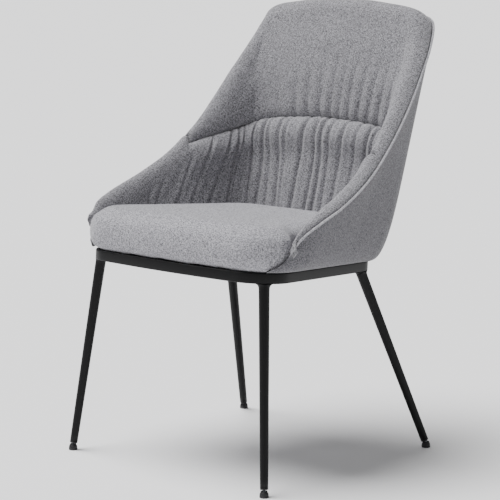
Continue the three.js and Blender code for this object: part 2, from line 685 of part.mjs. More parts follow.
// at the strongly bent arm tips the cover's edge keeps further from the piping
const coverEdge = ({ side }) => PIPING_DROP
  + TIP_CLEARANCE * THREE.MathUtils.smoothstep(Math.abs(side), 0.8, 0.9);
const coverRungs = (rib) => [...wallRungs(rib), below(rib, coverEdge(rib))];

// Ring of points from the outer face round to the inner face of a layer of the tub.
function layer(levels, outer, inner) {
  const down = [...levels].reverse();
  return [...levels.map((up) => [up, outer]), ...down.map((up) => [up, inner])];
}

// Piping that runs above the cover's edge from tip to tip: round rings across its path.
function pipingGeometry() {
  const radius = PIPING_DIAMETER / 2;
  const used = ribs.slice(RIBS - PIPING_END, RIBS + PIPING_END + 1);
  const spot = (rib, depth) => tubInside(rib.side, below(rib, GAP + radius), depth);
  const path = used.map((rib) => spot(rib, shellOuter - radius));
  const rows = path.map((centre, i) => {
    const ahead = path[Math.min(i + 1, path.length - 1)];
    const tangent = ahead.clone().sub(path[Math.max(i - 1, 0)]).normalize();
    const inward = spot(used[i], shellOuter).sub(centre);
    const across = inward.addScaledVector(tangent, -inward.dot(tangent)).normalize();
    const upward = tangent.clone().cross(across);
    return Array.from({ length: 8 }, (_, k) => {
      const angle = rad(45 * k + 22.5);
      return centre.clone()
        .addScaledVector(across, radius * Math.cos(angle))
        .addScaledVector(upward, radius * Math.sin(angle));
    });
  });
  const capShape = Array.from({ length: 8 }, (_, k) => {
    const angle = rad(45 * k + 22.5);
    return new THREE.Vector2(radius * Math.cos(angle), radius * Math.sin(angle));
  });
  return loft(rows, { capShape });
}
addPart('rim_piping', pipingGeometry(), 'fabric_back');

const cover = tubPiece(
  (rib) => layer([COVER_FOOT, ...coverRungs(rib)], 0, COVER_THICKNESS), -RIBS, RIBS,
);
addPart('outer_back_cover', cover, 'fabric_back');

// Stiff shell: the wall follows the cover, and its floor lies on the ring.
const seatMatrix = seat.matrixWorld;
const wall = toSolid(tubPiece(
  (rib) => layer([FLOOR_FOOT, ...wallRungs(rib)], shellOuter, shellInner), -SHELL_END, SHELL_END,
));
const insideCover = toSolid(tubPiece(
  (rib) => layer([FLOOR_FOOT, ...coverRungs(rib)], shellOuter, shellOuter + OUTSIDE),
  -RIBS, RIBS,
));
const pan = toSolid(seatSlab(-PAN_INSET, 2 * GAP, PAN_THICKNESS), seatMatrix);
const flange = toSolid(toGeometry(flangeSlab(COVER_LAP - 2)), seatMatrix);
const lip = toSolid(toGeometry(flangeSlab(COVER_LAP + FLANGE_LIP)), seatMatrix).intersect(insideCover);
const cushionClear = toSolid(
  toGeometry(toSolid(cushionGeometry(GAP)).subtract(flangeSlab(COVER_LAP + FLANGE_LIP))),
  seatMatrix,
);
const aboveBoard = toSolid(seatSlab(-BOARD_INSET + GAP, boardLow - GAP, 200), seatMatrix);
let shell = wall.add(lip).subtract(cushionClear).add(pan).add(flange);
for (const tab of tabs) {
  const hole = cylinder(boltHole, -10, 30, tab.bolt.x, tab.bolt.y);
  shell = shell.subtract(toSolid(hole, seatMatrix));
}
shell = shell.subtract(aboveBoard);
addPart('tub_shell', toGeometry(shell), 'plywood');

// Pads: the upper one reaches from the seam to the rim, where it rolls over the shell's edge.
// The lumbar pad fills the space from the seat up to the seam and runs round as the arm pads.
const underPads = toSolid(seatSlab(COVER_LAP + 40, -40, PAN_THICKNESS + GAP), seatMatrix);
const faceDepth = (rib, up) => rib.depth - PAD_TAPER * up;

// The padded roll over the rim, from the back of the piping round to the inner face.
function rollPoints(rib) {
  const from = shellOuter + ROLL_CLEARANCE;
  const width = Math.min(ROLL_WIDTH, faceDepth(rib, 1) - from - 2);
  const sink = ROLL_RISE - Math.min(ROLL_RISE, width * 0.4);
  return [0, 0.2, 0.4, 0.6, 0.8, 0.95].map((t) => [
    below(rib, sink + ROLL_RISE * (1 - Math.sin(Math.PI * t))), from + width * t,
  ]);
}

function rimProfile(rib, outerRungs) {
  const from = outerRungs[0];
  const shoulder = Math.max(below(rib, SHELL_DROP + ROLL_WIDTH), lerp(from, 1, 0.3));
  const inner = [1, 0.75, 0.5, 0.25, 0].map((t) => lerp(from, shoulder, t));
  return [
    ...outerRungs.map((up) => [up, padOuter]),
    [below(rib, SHELL_DROP - EDGE_CLEARANCE), padOuter],
    [below(rib, SHELL_DROP - EDGE_CLEARANCE - GAP), shellOuter + ROLL_CLEARANCE],
    ...rollPoints(rib),
    ...inner.map((up) => [up, faceDepth(rib, up)]),
  ];
}

const upper = tubPiece((rib) => rimProfile(rib, rib.high), -SEAM_END, SEAM_END);
addPart('upper_back_pad', upper, 'fabric');

// Across the back the lumbar pad stops under the seam; past the seam's ends it takes the rim.
function lumbarProfile(rib) {
  const whole = rimProfile(rib, wallRungs(rib));
  if (Math.abs(rib.side) * RIBS > SEAM_END + 0.5) return whole;
  const top = rib.seam - SEAM_GAP / rib.reach;
  const outer = rib.low.map((up) => [Math.min(up, top), padOuter]);
  const inner = [...rib.low].reverse().map((up) => [Math.min(up, top), faceDepth(rib, up)]);
  const across = whole.length - outer.length - inner.length + 1;
  const edge = Array.from({ length: across - 1 }, (_, k) => (
    [top, lerp(padOuter, inner[0][1], (k + 1) / across)]
  ));
  return [...outer, ...edge, ...inner];
}

let lumbar = toSolid(tubPiece(lumbarProfile, -PAD_END, PAD_END));
// where the pad starts to take the rim, it stays clear of the shell's top edge
const shellEdge = (rib) => layer(
  [...rib.high, below(rib, SHELL_DROP - EDGE_CLEARANCE / 2)], 0, padOuter - PAD_GLUE / 4,
);
for (const [first, last] of [[-SEAM_END - 2, 1 - SEAM_END], [SEAM_END - 1, SEAM_END + 2]]) {
  lumbar = lumbar.subtract(toSolid(tubPiece(shellEdge, first, last)));
}
// its front ends stay clear of the cover, which closes round in front of them
const coverSpace = (rib) => layer([COVER_FOOT, ...coverRungs(rib)], -ROLL_WIDTH, shellOuter);
for (const [first, last] of [[-RIBS, 1 - PAD_END], [PAD_END - 1, RIBS]]) {
  lumbar = lumbar.subtract(toSolid(tubPiece(coverSpace, first, last)));
}
lumbar = lumbar.subtract(cushionClear).subtract(underPads);
addPart('lumbar_pad', toGeometry(lumbar), 'fabric');

// Origin: the middle of the bounding box on the floor.
const bounds = new THREE.Box3().setFromObject(chair);
chair.position.y = -(bounds.min.y + bounds.max.y) / 2;
chair.updateMatrixWorld(true);

export default chair;
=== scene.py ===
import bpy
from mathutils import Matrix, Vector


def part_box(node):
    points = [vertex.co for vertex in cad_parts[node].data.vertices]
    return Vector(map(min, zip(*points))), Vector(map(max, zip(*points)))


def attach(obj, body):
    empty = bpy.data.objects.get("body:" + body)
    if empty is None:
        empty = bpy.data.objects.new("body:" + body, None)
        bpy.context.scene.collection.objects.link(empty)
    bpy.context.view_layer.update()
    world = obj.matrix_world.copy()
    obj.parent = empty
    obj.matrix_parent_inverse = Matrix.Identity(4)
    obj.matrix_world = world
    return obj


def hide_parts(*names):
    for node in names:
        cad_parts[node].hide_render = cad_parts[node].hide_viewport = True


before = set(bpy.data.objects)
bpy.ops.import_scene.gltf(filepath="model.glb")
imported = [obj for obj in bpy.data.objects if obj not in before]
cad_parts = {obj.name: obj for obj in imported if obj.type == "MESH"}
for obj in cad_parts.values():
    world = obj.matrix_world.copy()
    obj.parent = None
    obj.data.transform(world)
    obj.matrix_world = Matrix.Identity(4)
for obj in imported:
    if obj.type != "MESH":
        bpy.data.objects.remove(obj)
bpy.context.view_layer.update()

import math

import bpy
import numpy as np

MM = 0.001

# ---------- driving dimensions: in mm, y grows to the rear, z up from the floor ----------
# Seat ring: a rounded trapezoid of square tube; pairs are front and rear.
SEAT_HEIGHT = 385.0          # top of the ring at its middle
SEAT_RAKE = math.radians(3.9)
RING_HALF = (245.0, 175.0)   # half width
RING_Y = (-221.0, 164.0)
RING_BOW = (18.0, 8.0)       # bulge of the edge's middle
RING_RADIUS = (60.0, 50.0)   # corners
RING_TUBE = 20.0
RING_EDGE = 2.6              # rounded edge of the square tube

# Legs: a station is a place along the ring from the rear middle (0) to the front middle (1).
FRONT_LEG_STATION = 0.7
REAR_LEG_STATION = 0.255
FRONT_FOOT = (252.0, -240.0)
REAR_FOOT = (243.5, 242.0)
LEG_DIAMETERS = (15.0, 20.0)  # at the foot and under the ring
LEG_WALL = 1.6
LEG_END_HEIGHT = 16.5
BALL_HEIGHT = 7.4            # centre of the glide's ball
WELD_REACH = 7.0             # how far a weld fillet spreads along the ring

# Tub: how far its outer surface stands out from the ring, and how deep the padding is.
ARM_OVERHANG = 40.0
BACK_OVERHANG = 139.0
ARM_SETBACK = 42.0           # arm tips behind the ring's front
BACK_RISE = 472.0
BACK_DEPTH = 52.0
ARM_DEPTH = 38.0
TIP_DEPTH = 10.0

# Outer cover and piping. Sides run from -1 at the left arm tip to 1 at the right.
COVER_LAP = 7.0
COVER_THICKNESS = 3.0
COVER_DROP = 4.4             # edge of the outer cover below the rim
COVER_WAVES = (0.7, 60.0)    # height and length of its slow waves
PIPING_RADIUS = 2.2
PIPING_DROP = 2.5            # centre of the piping below the rim
PIPING_DEPTH = 1.1           # and behind the outer surface
PIPING_LAST = 0.957          # side at which the piping ends
PIPING_END_TAPER = 9.0       # length over which the piping's ends thin out
CORD_TWIST = 11.0            # length of one beat of the cord inside the piping

# Seam between the two pads, and how they are drawn in and swell beside it.
SEAM_RISE = 252.0            # middle of the seam above the ring
SEAM_DROP = 54.0             # fall of the seam from the middle to the rim
SEAM_ARC = 1.2               # power of that fall: 1 is straight, 2 is a parabola
SEAM_END = 0.6               # side at which the seam meets the rim
SEAM_LAST = 0.64             # side at which it reaches the piping
SEAM_GAP = 0.8               # half the gap between the two pads
SEAM_PULL = 9.0              # how far the stitching draws the pads in
PLUMP_UNDER_SEAM = 10.0      # swell of the lumbar pad
PLUMP_PLACE = 34.0           # its place below the seam, and its spread

# Pads: one sheet over the rim's roll and down to the cushion.
LUMBAR_LAST = 0.955          # side at which the lumbar and arm pad ends
PAD_FOOT = 0.035             # share of a rib at which the pads end under the cushion
PAD_TAPER = 6.0              # how much thinner the pads are at the rim than at the foot
PAD_BACK = 13.3              # depth of the pads' rear face, in front of the shell
SHELL_EDGE = 13.0            # end of the pads' rear face below the rim
LEDGE_DROP = 12.3            # ledge over the shell's edge, below the rim
ROLL_FROM = 3.6              # depth at which the padded roll starts behind the piping
ROLL_RISE = 6.0              # crest above the rim
ROLL_BACK = 3.5              # start of the roll below the rim
ROLL_FOOT = 26.0             # inner foot of the roll below the rim
CORNER_EASE = 26.0           # spread of the rounding of the tub's inner corners
UPPER_COLUMNS = 120          # columns of points down the upper pad
LUMBAR_COLUMNS = 150         # and down the lumbar pad
FOLD_DEPTH = (1.7, 1.8)      # scale of the lumbar and of the upper folds' depth
FOLD_HEIGHT = 1.3            # scale of the upper folds' height
UPPER_WAVES = ((1.3, 46.0), (0.5, 17.0))    # height and length, slow and quick
LUMBAR_WAVES = ((1.1, 38.0), (0.5, 15.0))

# Seat cushion, and the cloth simulation that fills it out.
CUSHION_HEIGHT = 76.0
CUSHION_CROWN = 12.0
CUSHION_OVERHANG = 13.0
CORNER_FULLNESS = 7.0        # extra overhang of the cushion's front corners
TOP_TUCK = 17.0              # how far the rounded top edge comes in
FOOT_TUCK = 3.0              # and the lower edge
CUSHION_CELL = 6.0           # cell of the cushion's even mesh
CUSHION_PRESSURE = 4.0       # inner pressure
CUSHION_MOVE = 7.0           # largest move that is kept
CLOTH_FRAMES = 20

# Ribs of the tub's right half: rim point as shares of half width, depth and rise, the foot's
# place along the ring, and the swell of the rib at its foot and at its middle.
STATIONS = np.array([
    (0.000, 1.000, 1.000, 0.000, 30, 3),
    (0.370, 1.000, 0.986, 0.093, 30, 4),
    (0.620, 0.998, 0.966, 0.167, 34, 5),
    (0.735, 0.980, 0.940, 0.220, 41, 6),
    (0.795, 0.925, 0.858, 0.265, 46, 7),
    (0.842, 0.830, 0.739, 0.320, 47, 8),
    (0.878, 0.715, 0.598, 0.380, 44, 8),
    (0.902, 0.583, 0.458, 0.440, 40, 8),
    (0.935, 0.440, 0.349, 0.500, 38, 9),
    (0.970, 0.260, 0.262, 0.565, 35, 9),
    (0.985, 0.125, 0.216, 0.625, 29, 8),
    (0.955, 0.035, 0.163, 0.667, 19, 4),
    (0.890, 0.000, 0.077, 0.700, 8, 2),
])

# The model's y = 0 against the frame's: the front feet tell it.
foot_low, foot_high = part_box("glide_pad_front_left")
SHIFT = (foot_low[1] + foot_high[1]) / 2 / MM - FRONT_FOOT[1]


# ---------- small helpers ----------
def srgb(code):
    """A hex colour as linear red, green, blue and full alpha."""
    channels = [int(code[i:i + 2], 16) / 255 for i in (0, 2, 4)]
    linear = [c / 12.92 if c <= 0.04045 else ((c + 0.055) / 1.055) ** 2.4 for c in channels]
    return (*linear, 1.0)


def smooth(x, low, high):
    """Smooth step from 0 at low to 1 at high."""
    t = np.clip((x - low) / (high - low), 0, 1)
    return t * t * (3 - 2 * t)


def add_node(tree, kind, inputs=None, **settings):
    """Adds a node; inputs holds values or the output sockets that feed it, by name or place."""
    made = tree.nodes.new(kind)
    for key, value in settings.items():
        setattr(made, key, value)
    for key, value in (inputs or {}).items():
        socket = made.inputs[key]
        if isinstance(value, bpy.types.NodeSocket):
            tree.links.new(value, socket)
        else:
            socket.default_value = value
    return made


def new_material(name):
    """An empty node material and its Principled shader."""
    material = bpy.data.materials.new(name)
    material.use_nodes = True
    tree = material.node_tree
    return material, tree, tree.nodes["Principled BSDF"]


def mesh_object(name, points, faces, material):
    """Object at the origin from points in model millimetres and a list of faces."""
    placed = np.asarray(points, dtype=float).reshape(-1, 3) + (0, SHIFT, 0)
    mesh = bpy.data.meshes.new(name)
    mesh.from_pydata((placed * MM).tolist(), [], faces)
    mesh.materials.append(material)
    mesh.shade_smooth()
    piece = bpy.data.objects.new(name, mesh)
    bpy.context.collection.objects.link(piece)
    return piece


def grid_faces(rows, columns, wrap_rows=False, wrap_columns=False):
    """Four-sided faces of a grid of points, numbered row by row."""
    r = np.arange(rows if wrap_rows else rows - 1)
    c = np.arange(columns if wrap_columns else columns - 1)
    r, c = [a.ravel() for a in np.meshgrid(r, c, indexing="ij")]
    below, beside = (r + 1) % rows, (c + 1) % columns
    return np.stack([
        r * columns + c, r * columns + beside, below * columns + beside, below * columns + c,
    ], axis=1).tolist()


def volume_sign(points, faces):
    """Sign of the volume that the faces enclose, by the fan of each face from its first corner."""
    p = np.asarray(points, dtype=float).reshape(-1, 3)
    f = np.array([face[:4] for face in faces if len(face) == 4])
    a, b, c, d = (p[f[:, k]] for k in range(4))
    return np.sign(np.sum(a * np.cross(b, c)) + np.sum(a * np.cross(c, d)))


def loft(name, rows, material, wrap=False):
    """Closed surface through rows of points: every row is a closed ring, and the first and last
    rows are closed by one flat face each, unless the rows run round."""
    count, ring = rows.shape[:2]
    faces = grid_faces(count, ring, wrap_rows=wrap, wrap_columns=True)
    if not wrap:
        faces.append(list(range(ring - 1, -1, -1)))
        faces.append(list(range((count - 1) * ring, count * ring)))
    if volume_sign(rows, faces) < 0:
        faces = [face[::-1] for face in faces]
    return mesh_object(name, rows, faces, material)


def finish_piece(piece, body, replaces=()):
    """Attaches the piece to the body that it moves with, and hides the solids that it stands for.
    """
    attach(piece, body)
    if replaces:
        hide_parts(*replaces)


# ---------- seat ring outline ----------
def seat_outline(grow, arc_steps=16, edge_steps=24):
    """Closed line of the seat seen from above, anticlockwise from the front middle: a rounded
    trapezoid whose front and rear are bowed by a parabola, moved outwards by grow."""
    (front, rear), (front_y, rear_y) = RING_HALF, RING_Y
    corners = np.array([(front, front_y), (rear, rear_y), (-rear, rear_y), (-front, front_y)])
    radii = (*RING_RADIUS, *RING_RADIUS[::-1])
    pieces = []
    for i, (corner, radius) in enumerate(zip(corners, radii)):
        before = corner - corners[i - 1]
        after = corners[(i + 1) % 4] - corner
        before, after = before / np.hypot(*before), after / np.hypot(*after)
        start = math.atan2(-before[0], before[1])
        turn = (math.atan2(-after[0], after[1]) - start) % (2 * math.pi)
        inward = (after - before) / np.hypot(*(after - before))
        centre = corner + inward * radius / math.cos(turn / 2)
        angle = start + turn * np.linspace(0, 1, arc_steps + 1)
        arc = centre + (radius + grow) * np.stack([np.cos(angle), np.sin(angle)], axis=1)
        pieces.append(arc)
    line = []
    for i, arc in enumerate(pieces):
        onward = pieces[(i + 1) % 4][0]
        edge = arc[-1] + np.linspace(0, 1, edge_steps + 1)[1:-1, None] * (onward - arc[-1])
        line += [arc, edge]
    line = np.concatenate(line)
    line = np.roll(line, edge_steps // 2, axis=0)
    x, y = line.T
    front_side = y < 0
    half = np.where(front_side, front, rear)
    reach = np.where(front_side, y / front_y, y / rear_y)
    bow = np.where(front_side, -RING_BOW[0], RING_BOW[1])
    across = np.clip(1 - (x / half) ** 2, 0, None)
    return np.stack([x, y + bow * across * np.minimum(1, reach * reach)], axis=1)


def outline_at(station, grow):
    """Points on the right half of the outline and their outward directions: station 0 is the
    rear middle and 1 the front middle, by length along the line."""
    line = seat_outline(grow)
    right = line[:len(line) // 2 + 1][::-1]
    steps = np.hypot(*np.diff(right, axis=0).T)
    length = np.concatenate([[0], np.cumsum(steps)])
    wanted = np.asarray(station) * length[-1]
    at = np.stack([np.interp(wanted, length, right[:, k]) for k in (0, 1)], axis=-1)
    ahead = np.stack([np.interp(wanted + 2, length, right[:, k]) for k in (0, 1)], axis=-1)
    back = np.stack([np.interp(wanted - 2, length, right[:, k]) for k in (0, 1)], axis=-1)
    along = ahead - back
    along /= np.linalg.norm(along, axis=-1, keepdims=True)
    return at, np.stack([-along[..., 1], along[..., 0]], axis=-1)


def raked(points):
    """Points of the seat's own level frame, turned by the rake and lifted to the ring."""
    p = np.asarray(points, dtype=float)
    cos, sin = math.cos(SEAT_RAKE), math.sin(SEAT_RAKE)
    x, y, z = p[..., 0], p[..., 1], p[..., 2]
    return np.stack([x, y * cos + z * sin, SEAT_HEIGHT - y * sin + z * cos], axis=-1)


# ---------- tub surface ----------
def guide_curves():
    """Control points of every rib: foot, swell, middle and rim, mirrored to the left."""
    half = RING_HALF[0] + ARM_OVERHANG
    rear, front = RING_Y[1] + BACK_OVERHANG, RING_Y[0] + ARM_SETBACK
    x, y, z, foot, knuckle, belly = STATIONS.T
    rim = np.stack([x * half, front + y * (rear - front), SEAT_HEIGHT + z * BACK_RISE], axis=1)
    at, out = outline_at(foot, COVER_LAP)
    out = np.concatenate([out, np.zeros((len(out), 1))], axis=1)
    low = np.stack([at[:, 0], at[:, 1], SEAT_HEIGHT - math.tan(SEAT_RAKE) * at[:, 1] + 0.6], axis=1)
    swell = low + out * knuckle[:, None] + (0, 0, 4)
    middle = (low + rim) / 2 + out * belly[:, None]
    right = np.stack([low, swell, middle, rim], axis=1)
    left = right[:0:-1] * (-1, 1, 1)
    return np.concatenate([left, right])


GUIDES = guide_curves()


def curve_at(points, along):
    """Centripetal Catmull-Rom curve through the points; along runs from 0 to 1."""
    padded = np.concatenate([[2 * points[0] - points[1]], points, [2 * points[-1] - points[-2]]])
    place = np.clip(along, 0, 1) * (len(points) - 1)
    i = np.minimum(place.astype(int), len(points) - 2)
    t = (place - i)[..., None]
    p0, p1, p2, p3 = (padded[i + k] for k in range(4))
    d0, d1, d2 = (np.maximum(np.linalg.norm(b - a, axis=-1, keepdims=True), 1e-9) ** 0.5
                  for a, b in ((p0, p1), (p1, p2), (p2, p3)))
    m1 = ((p1 - p0) / d0 - (p2 - p0) / (d0 + d1) + (p2 - p1) / d1) * d1
    m2 = ((p2 - p1) / d1 - (p3 - p1) / (d1 + d2) + (p3 - p2) / d2) * d1
    return (p1 + m1 * t + (3 * (p2 - p1) - 2 * m1 - m2) * t ** 2
            + (2 * (p1 - p2) + m1 + m2) * t ** 3)


def tub_point(side, up):
    """Outer surface: side from -1 at the left arm tip to 1 at the right, up from 0 at the foot
    to 1 at the rim. Each rib is a cubic Bezier curve between four guide curves."""
    side, up = np.broadcast_arrays(np.asarray(side, float), np.asarray(up, float))
    a, b, c, d = (curve_at(GUIDES[:, k], (side + 1) / 2) for k in range(4))
    u = up[..., None]
    return a * (1 - u) ** 3 + 3 * b * u * (1 - u) ** 2 + 3 * c * u ** 2 * (1 - u) + d * u ** 3


def tub_inward(side, up):
    """Unit direction into the tub, at right angles to the outer surface."""
    e = 2e-3
    s = np.clip(side, -1 + e, 1 - e)
    across = tub_point(s + e, up) - tub_point(s - e, up)
    rise = tub_point(s, up + e) - tub_point(s, up - e)
    inward = np.cross(across, rise)
    return inward / np.linalg.norm(inward, axis=-1, keepdims=True)


def tub_at(side, up, depth):
    """Outer surface moved inwards by depth."""
    return tub_point(side, up) + tub_inward(side, up) * np.asarray(depth)[..., None]


# Tables along the path, to go from a side value to lengths and back.
PATH_UP, PATH_DEPTH = 0.55, 30.0   # the path runs through the middle of the pads
SIDES = np.linspace(-1, 1, 801)
middle_line = tub_at(SIDES, np.full_like(SIDES, PATH_UP), np.full_like(SIDES, PATH_DEPTH))
PATH = np.concatenate([[0], np.cumsum(np.linalg.norm(np.diff(middle_line, axis=0), axis=1))])
PATH -= PATH[len(SIDES) // 2]
inner_sides = np.clip(SIDES, -0.998, 0.998)
rimward = (tub_point(inner_sides, 1.0) - tub_point(inner_sides, 0.998)) / 0.002
rim_along = tub_point(inner_sides + 1e-3, 1.0) - tub_point(inner_sides - 1e-3, 1.0)
rim_along /= np.linalg.norm(rim_along, axis=1, keepdims=True)
RATE = np.linalg.norm(np.cross(rimward, rim_along), axis=1)
REACH = np.linalg.norm(tub_point(SIDES, 1.0) - tub_point(SIDES, 0.0), axis=1)


def side_of(length):
    """Side value at a length along the path, in millimetres from the middle of the back."""
    return np.interp(length, PATH, SIDES)


def path_of(side):
    """Length along the path, in millimetres from the middle of the back."""
    return np.interp(side, SIDES, PATH)


def rate(side):
    """Millimetres at right angles to the rim for each share of a rib, never less than at the
    arm tips' own size, where the rim runs down along the ribs."""
    return np.maximum(np.interp(side, SIDES, RATE), 60.0)


def even_sides(first, last, step):
    """Side values a fixed length apart along the path."""
    low, high = path_of(first), path_of(last)
    return side_of(np.linspace(low, high, max(2, int(round((high - low) / step)))))


def up_at_height(side, height):
    """Share of each rib at which it reaches a height, by halving."""
    low, high = np.zeros_like(side), np.ones_like(side)
    for _ in range(22):
        middle = (low + high) / 2
        under = tub_point(side, middle)[..., 2] < height
        low, high = np.where(under, middle, low), np.where(under, high, middle)
    return low


def tub_depth(side):
    """Thickness from the outer surface to the pads' face, along the path."""
    t = np.abs(side)
    back = BACK_DEPTH + (ARM_DEPTH - BACK_DEPTH) * smooth(t, 0.3, 0.75)
    return back + (TIP_DEPTH - back) * smooth(t, 0.88, 1.02)


def seam_share(side):
    """Share of each rib at the seam: an arc that drops from the middle towards the arms."""
    drop = SEAM_DROP * (np.abs(side) / SEAM_END) ** SEAM_ARC
    return up_at_height(side, SEAT_HEIGHT + SEAM_RISE - drop)


# ---------- materials ----------
def melange(name, dark, light, shade, speck_mm=1.15, bump=0.55):
    """Woven upholstery cloth of mixed light and dark yarn: salt-and-pepper specks drawn coarser
    than the 0.6 mm yarn so that they show, short dashes where yarns float, a soft cloudy tone,
    and a matt surface with a little fuzz that catches light at grazing angles."""
    material, tree, shader = new_material(name)
    place = add_node(tree, "ShaderNodeTexCoord").outputs["Object"]
    specks = add_node(tree, "ShaderNodeTexNoise", {
        "Vector": place, "Scale": 1 / (speck_mm * MM), "Detail": 3.0, "Roughness": 0.8})
    yarns = [specks.outputs["Fac"]]
    for scale in ((1.0, 1.0, 0.3), (0.35, 0.35, 1.3)):
        turned = add_node(tree, "ShaderNodeMapping", {"Vector": place, "Scale": scale})
        yarns.append(add_node(tree, "ShaderNodeTexNoise", {
            "Vector": turned.outputs[0], "Scale": 1 / (1.3 * MM), "Detail": 2.0,
            "Roughness": 0.7}).outputs["Fac"])
    warp = add_node(tree, "ShaderNodeMath", {0: yarns[0], 1: yarns[1]}, operation="ADD")
    mixed = add_node(tree, "ShaderNodeMath", {0: warp.outputs[0], 1: yarns[2]}, operation="ADD")
    spread = add_node(tree, "ShaderNodeMapRange", {
        "Value": mixed.outputs[0], "From Min": 1.3, "From Max": 1.7, "To Min": 0.0, "To Max": 1.0})
    yarn = add_node(tree, "ShaderNodeMix", {"Factor": spread.outputs[0]}, data_type="RGBA")
    yarn.inputs[6].default_value = srgb(dark)
    yarn.inputs[7].default_value = srgb(light)
    clouds = add_node(tree, "ShaderNodeTexNoise", {
        "Vector": place, "Scale": 1 / (90 * MM), "Detail": 2.0})
    tone = add_node(tree, "ShaderNodeMapRange", {
        "Value": clouds.outputs["Fac"], "From Min": 0.3, "From Max": 0.7, "To Min": 0.0,
        "To Max": 0.16})
    aged = add_node(tree, "ShaderNodeMix", {"Factor": tone.outputs[0]}, data_type="RGBA")
    tree.links.new(yarn.outputs[2], aged.inputs[6])
    aged.inputs[7].default_value = srgb(shade)
    tree.links.new(aged.outputs[2], shader.inputs["Base Color"])
    weave = add_node(tree, "ShaderNodeTexNoise", {
        "Vector": place, "Scale": 1 / (1.5 * MM), "Detail": 3.0, "Roughness": 0.7})
    relief = add_node(tree, "ShaderNodeBump", {
        "Height": weave.outputs["Fac"], "Strength": bump, "Distance": 0.5 * MM})
    tree.links.new(relief.outputs["Normal"], shader.inputs["Normal"])
    shader.inputs["Roughness"].default_value = 0.92
    shader.inputs["Specular IOR Level"].default_value = 0.2
    shader.inputs["Sheen Weight"].default_value = 0.25
    shader.inputs["Sheen Roughness"].default_value = 0.5
    return material


def speckled(name, colour, other, grain_mm, roughness, metallic=0.0, bump=0.2, spread=0.08,
             shine=0.5):
    """A finish with fine grain: two close colours mixed by noise of the grain's size, roughness
    that varies a little with it, and a shallow relief of the same grain."""
    material, tree, shader = new_material(name)
    place = add_node(tree, "ShaderNodeTexCoord").outputs["Object"]
    grain = add_node(tree, "ShaderNodeTexNoise", {
        "Vector": place, "Scale": 1 / (grain_mm * MM), "Detail": 3.0})
    colours = add_node(tree, "ShaderNodeMix", {"Factor": grain.outputs["Fac"]}, data_type="RGBA")
    colours.inputs[6].default_value = srgb(colour)
    colours.inputs[7].default_value = srgb(other)
    tree.links.new(colours.outputs[2], shader.inputs["Base Color"])
    rough = add_node(tree, "ShaderNodeMapRange", {
        "Value": grain.outputs["Fac"], "To Min": roughness - spread, "To Max": roughness + spread})
    tree.links.new(rough.outputs[0], shader.inputs["Roughness"])
    relief = add_node(tree, "ShaderNodeBump", {
        "Height": grain.outputs["Fac"], "Strength": bump, "Distance": 0.1 * MM})
    tree.links.new(relief.outputs["Normal"], shader.inputs["Normal"])
    shader.inputs["Metallic"].default_value = metallic
    shader.inputs["Specular IOR Level"].default_value = shine
    return material


def plywood(name):
    """Raw birch plywood: pale wood with stretched grain lines across X and a dry surface."""
    material, tree, shader = new_material(name)
    place = add_node(tree, "ShaderNodeTexCoord").outputs["Object"]
    stretched = add_node(tree, "ShaderNodeMapping", {"Vector": place, "Scale": (1.0, 9.0, 9.0)})
    grain = add_node(tree, "ShaderNodeTexNoise", {
        "Vector": stretched.outputs[0], "Scale": 1 / (25 * MM), "Detail": 5.0, "Distortion": 0.6})
    colours = add_node(tree, "ShaderNodeMix", {"Factor": grain.outputs["Fac"]}, data_type="RGBA")
    colours.inputs[6].default_value = srgb("b98d5c")
    colours.inputs[7].default_value = srgb("dcb98a")
    tree.links.new(colours.outputs[2], shader.inputs["Base Color"])
    relief = add_node(tree, "ShaderNodeBump", {
        "Height": grain.outputs["Fac"], "Strength": 0.3, "Distance": 0.2 * MM})
    tree.links.new(relief.outputs["Normal"], shader.inputs["Normal"])
    shader.inputs["Roughness"].default_value = 0.75
    return material


# One upholstery fabric is drawn here in four brightnesses. The seat copy is lighter, as painted
# light on its lit top. The piping copy is lighter still, as a painted highlight. The tub copy is
# darker, as painted shade on the inner pads. The outer copy is darkest, as painted shade on the
# shaded outer panel.
SEAT_CLOTH_LIT = melange("melange_cloth_seat_painted_lit", "49484d", "c2c1c7", "8a898f")
TUB_CLOTH_SHADED = melange("melange_cloth_tub_painted_shade", "39383c", "adacb1", "757479")
OUTER_CLOTH_SHADED = melange("melange_cloth_outer_painted_shade", "262529", "828186", "555459")
PIPING_CLOTH_HIGHLIT = melange("melange_cloth_piping_painted_highlight", "77767b", "cbcacf", "a3a2a7", speck_mm=1.6)
# powder-coated steel: near black with a blue cast, slightly pebbled, half matt
POWDER_COAT = speckled("powder_coated_steel", "060607", "0a0a0c", 0.9, 0.5, bump=0.35, spread=0.06,
                        shine=0.22)
# moulded nylon glides: dark, with the faint texture of a spark-eroded mould
NYLON = speckled("moulded_nylon", "151517", "1d1d20", 0.7, 0.5, bump=0.25)
# zinc-plated steel: bluish silver with a fine crystalline cloud
ZINC = speckled("zinc_plated_steel", "b5bac2", "8f949d", 1.4, 0.36, metallic=1.0, bump=0.1)
# non-woven dust cloth: black felted fibres
DUST_CLOTH = speckled("nonwoven_dust_cloth", "141415", "232325", 1.1, 0.93, bump=0.8, spread=0.04)
PLYWOOD = plywood("birch_plywood")


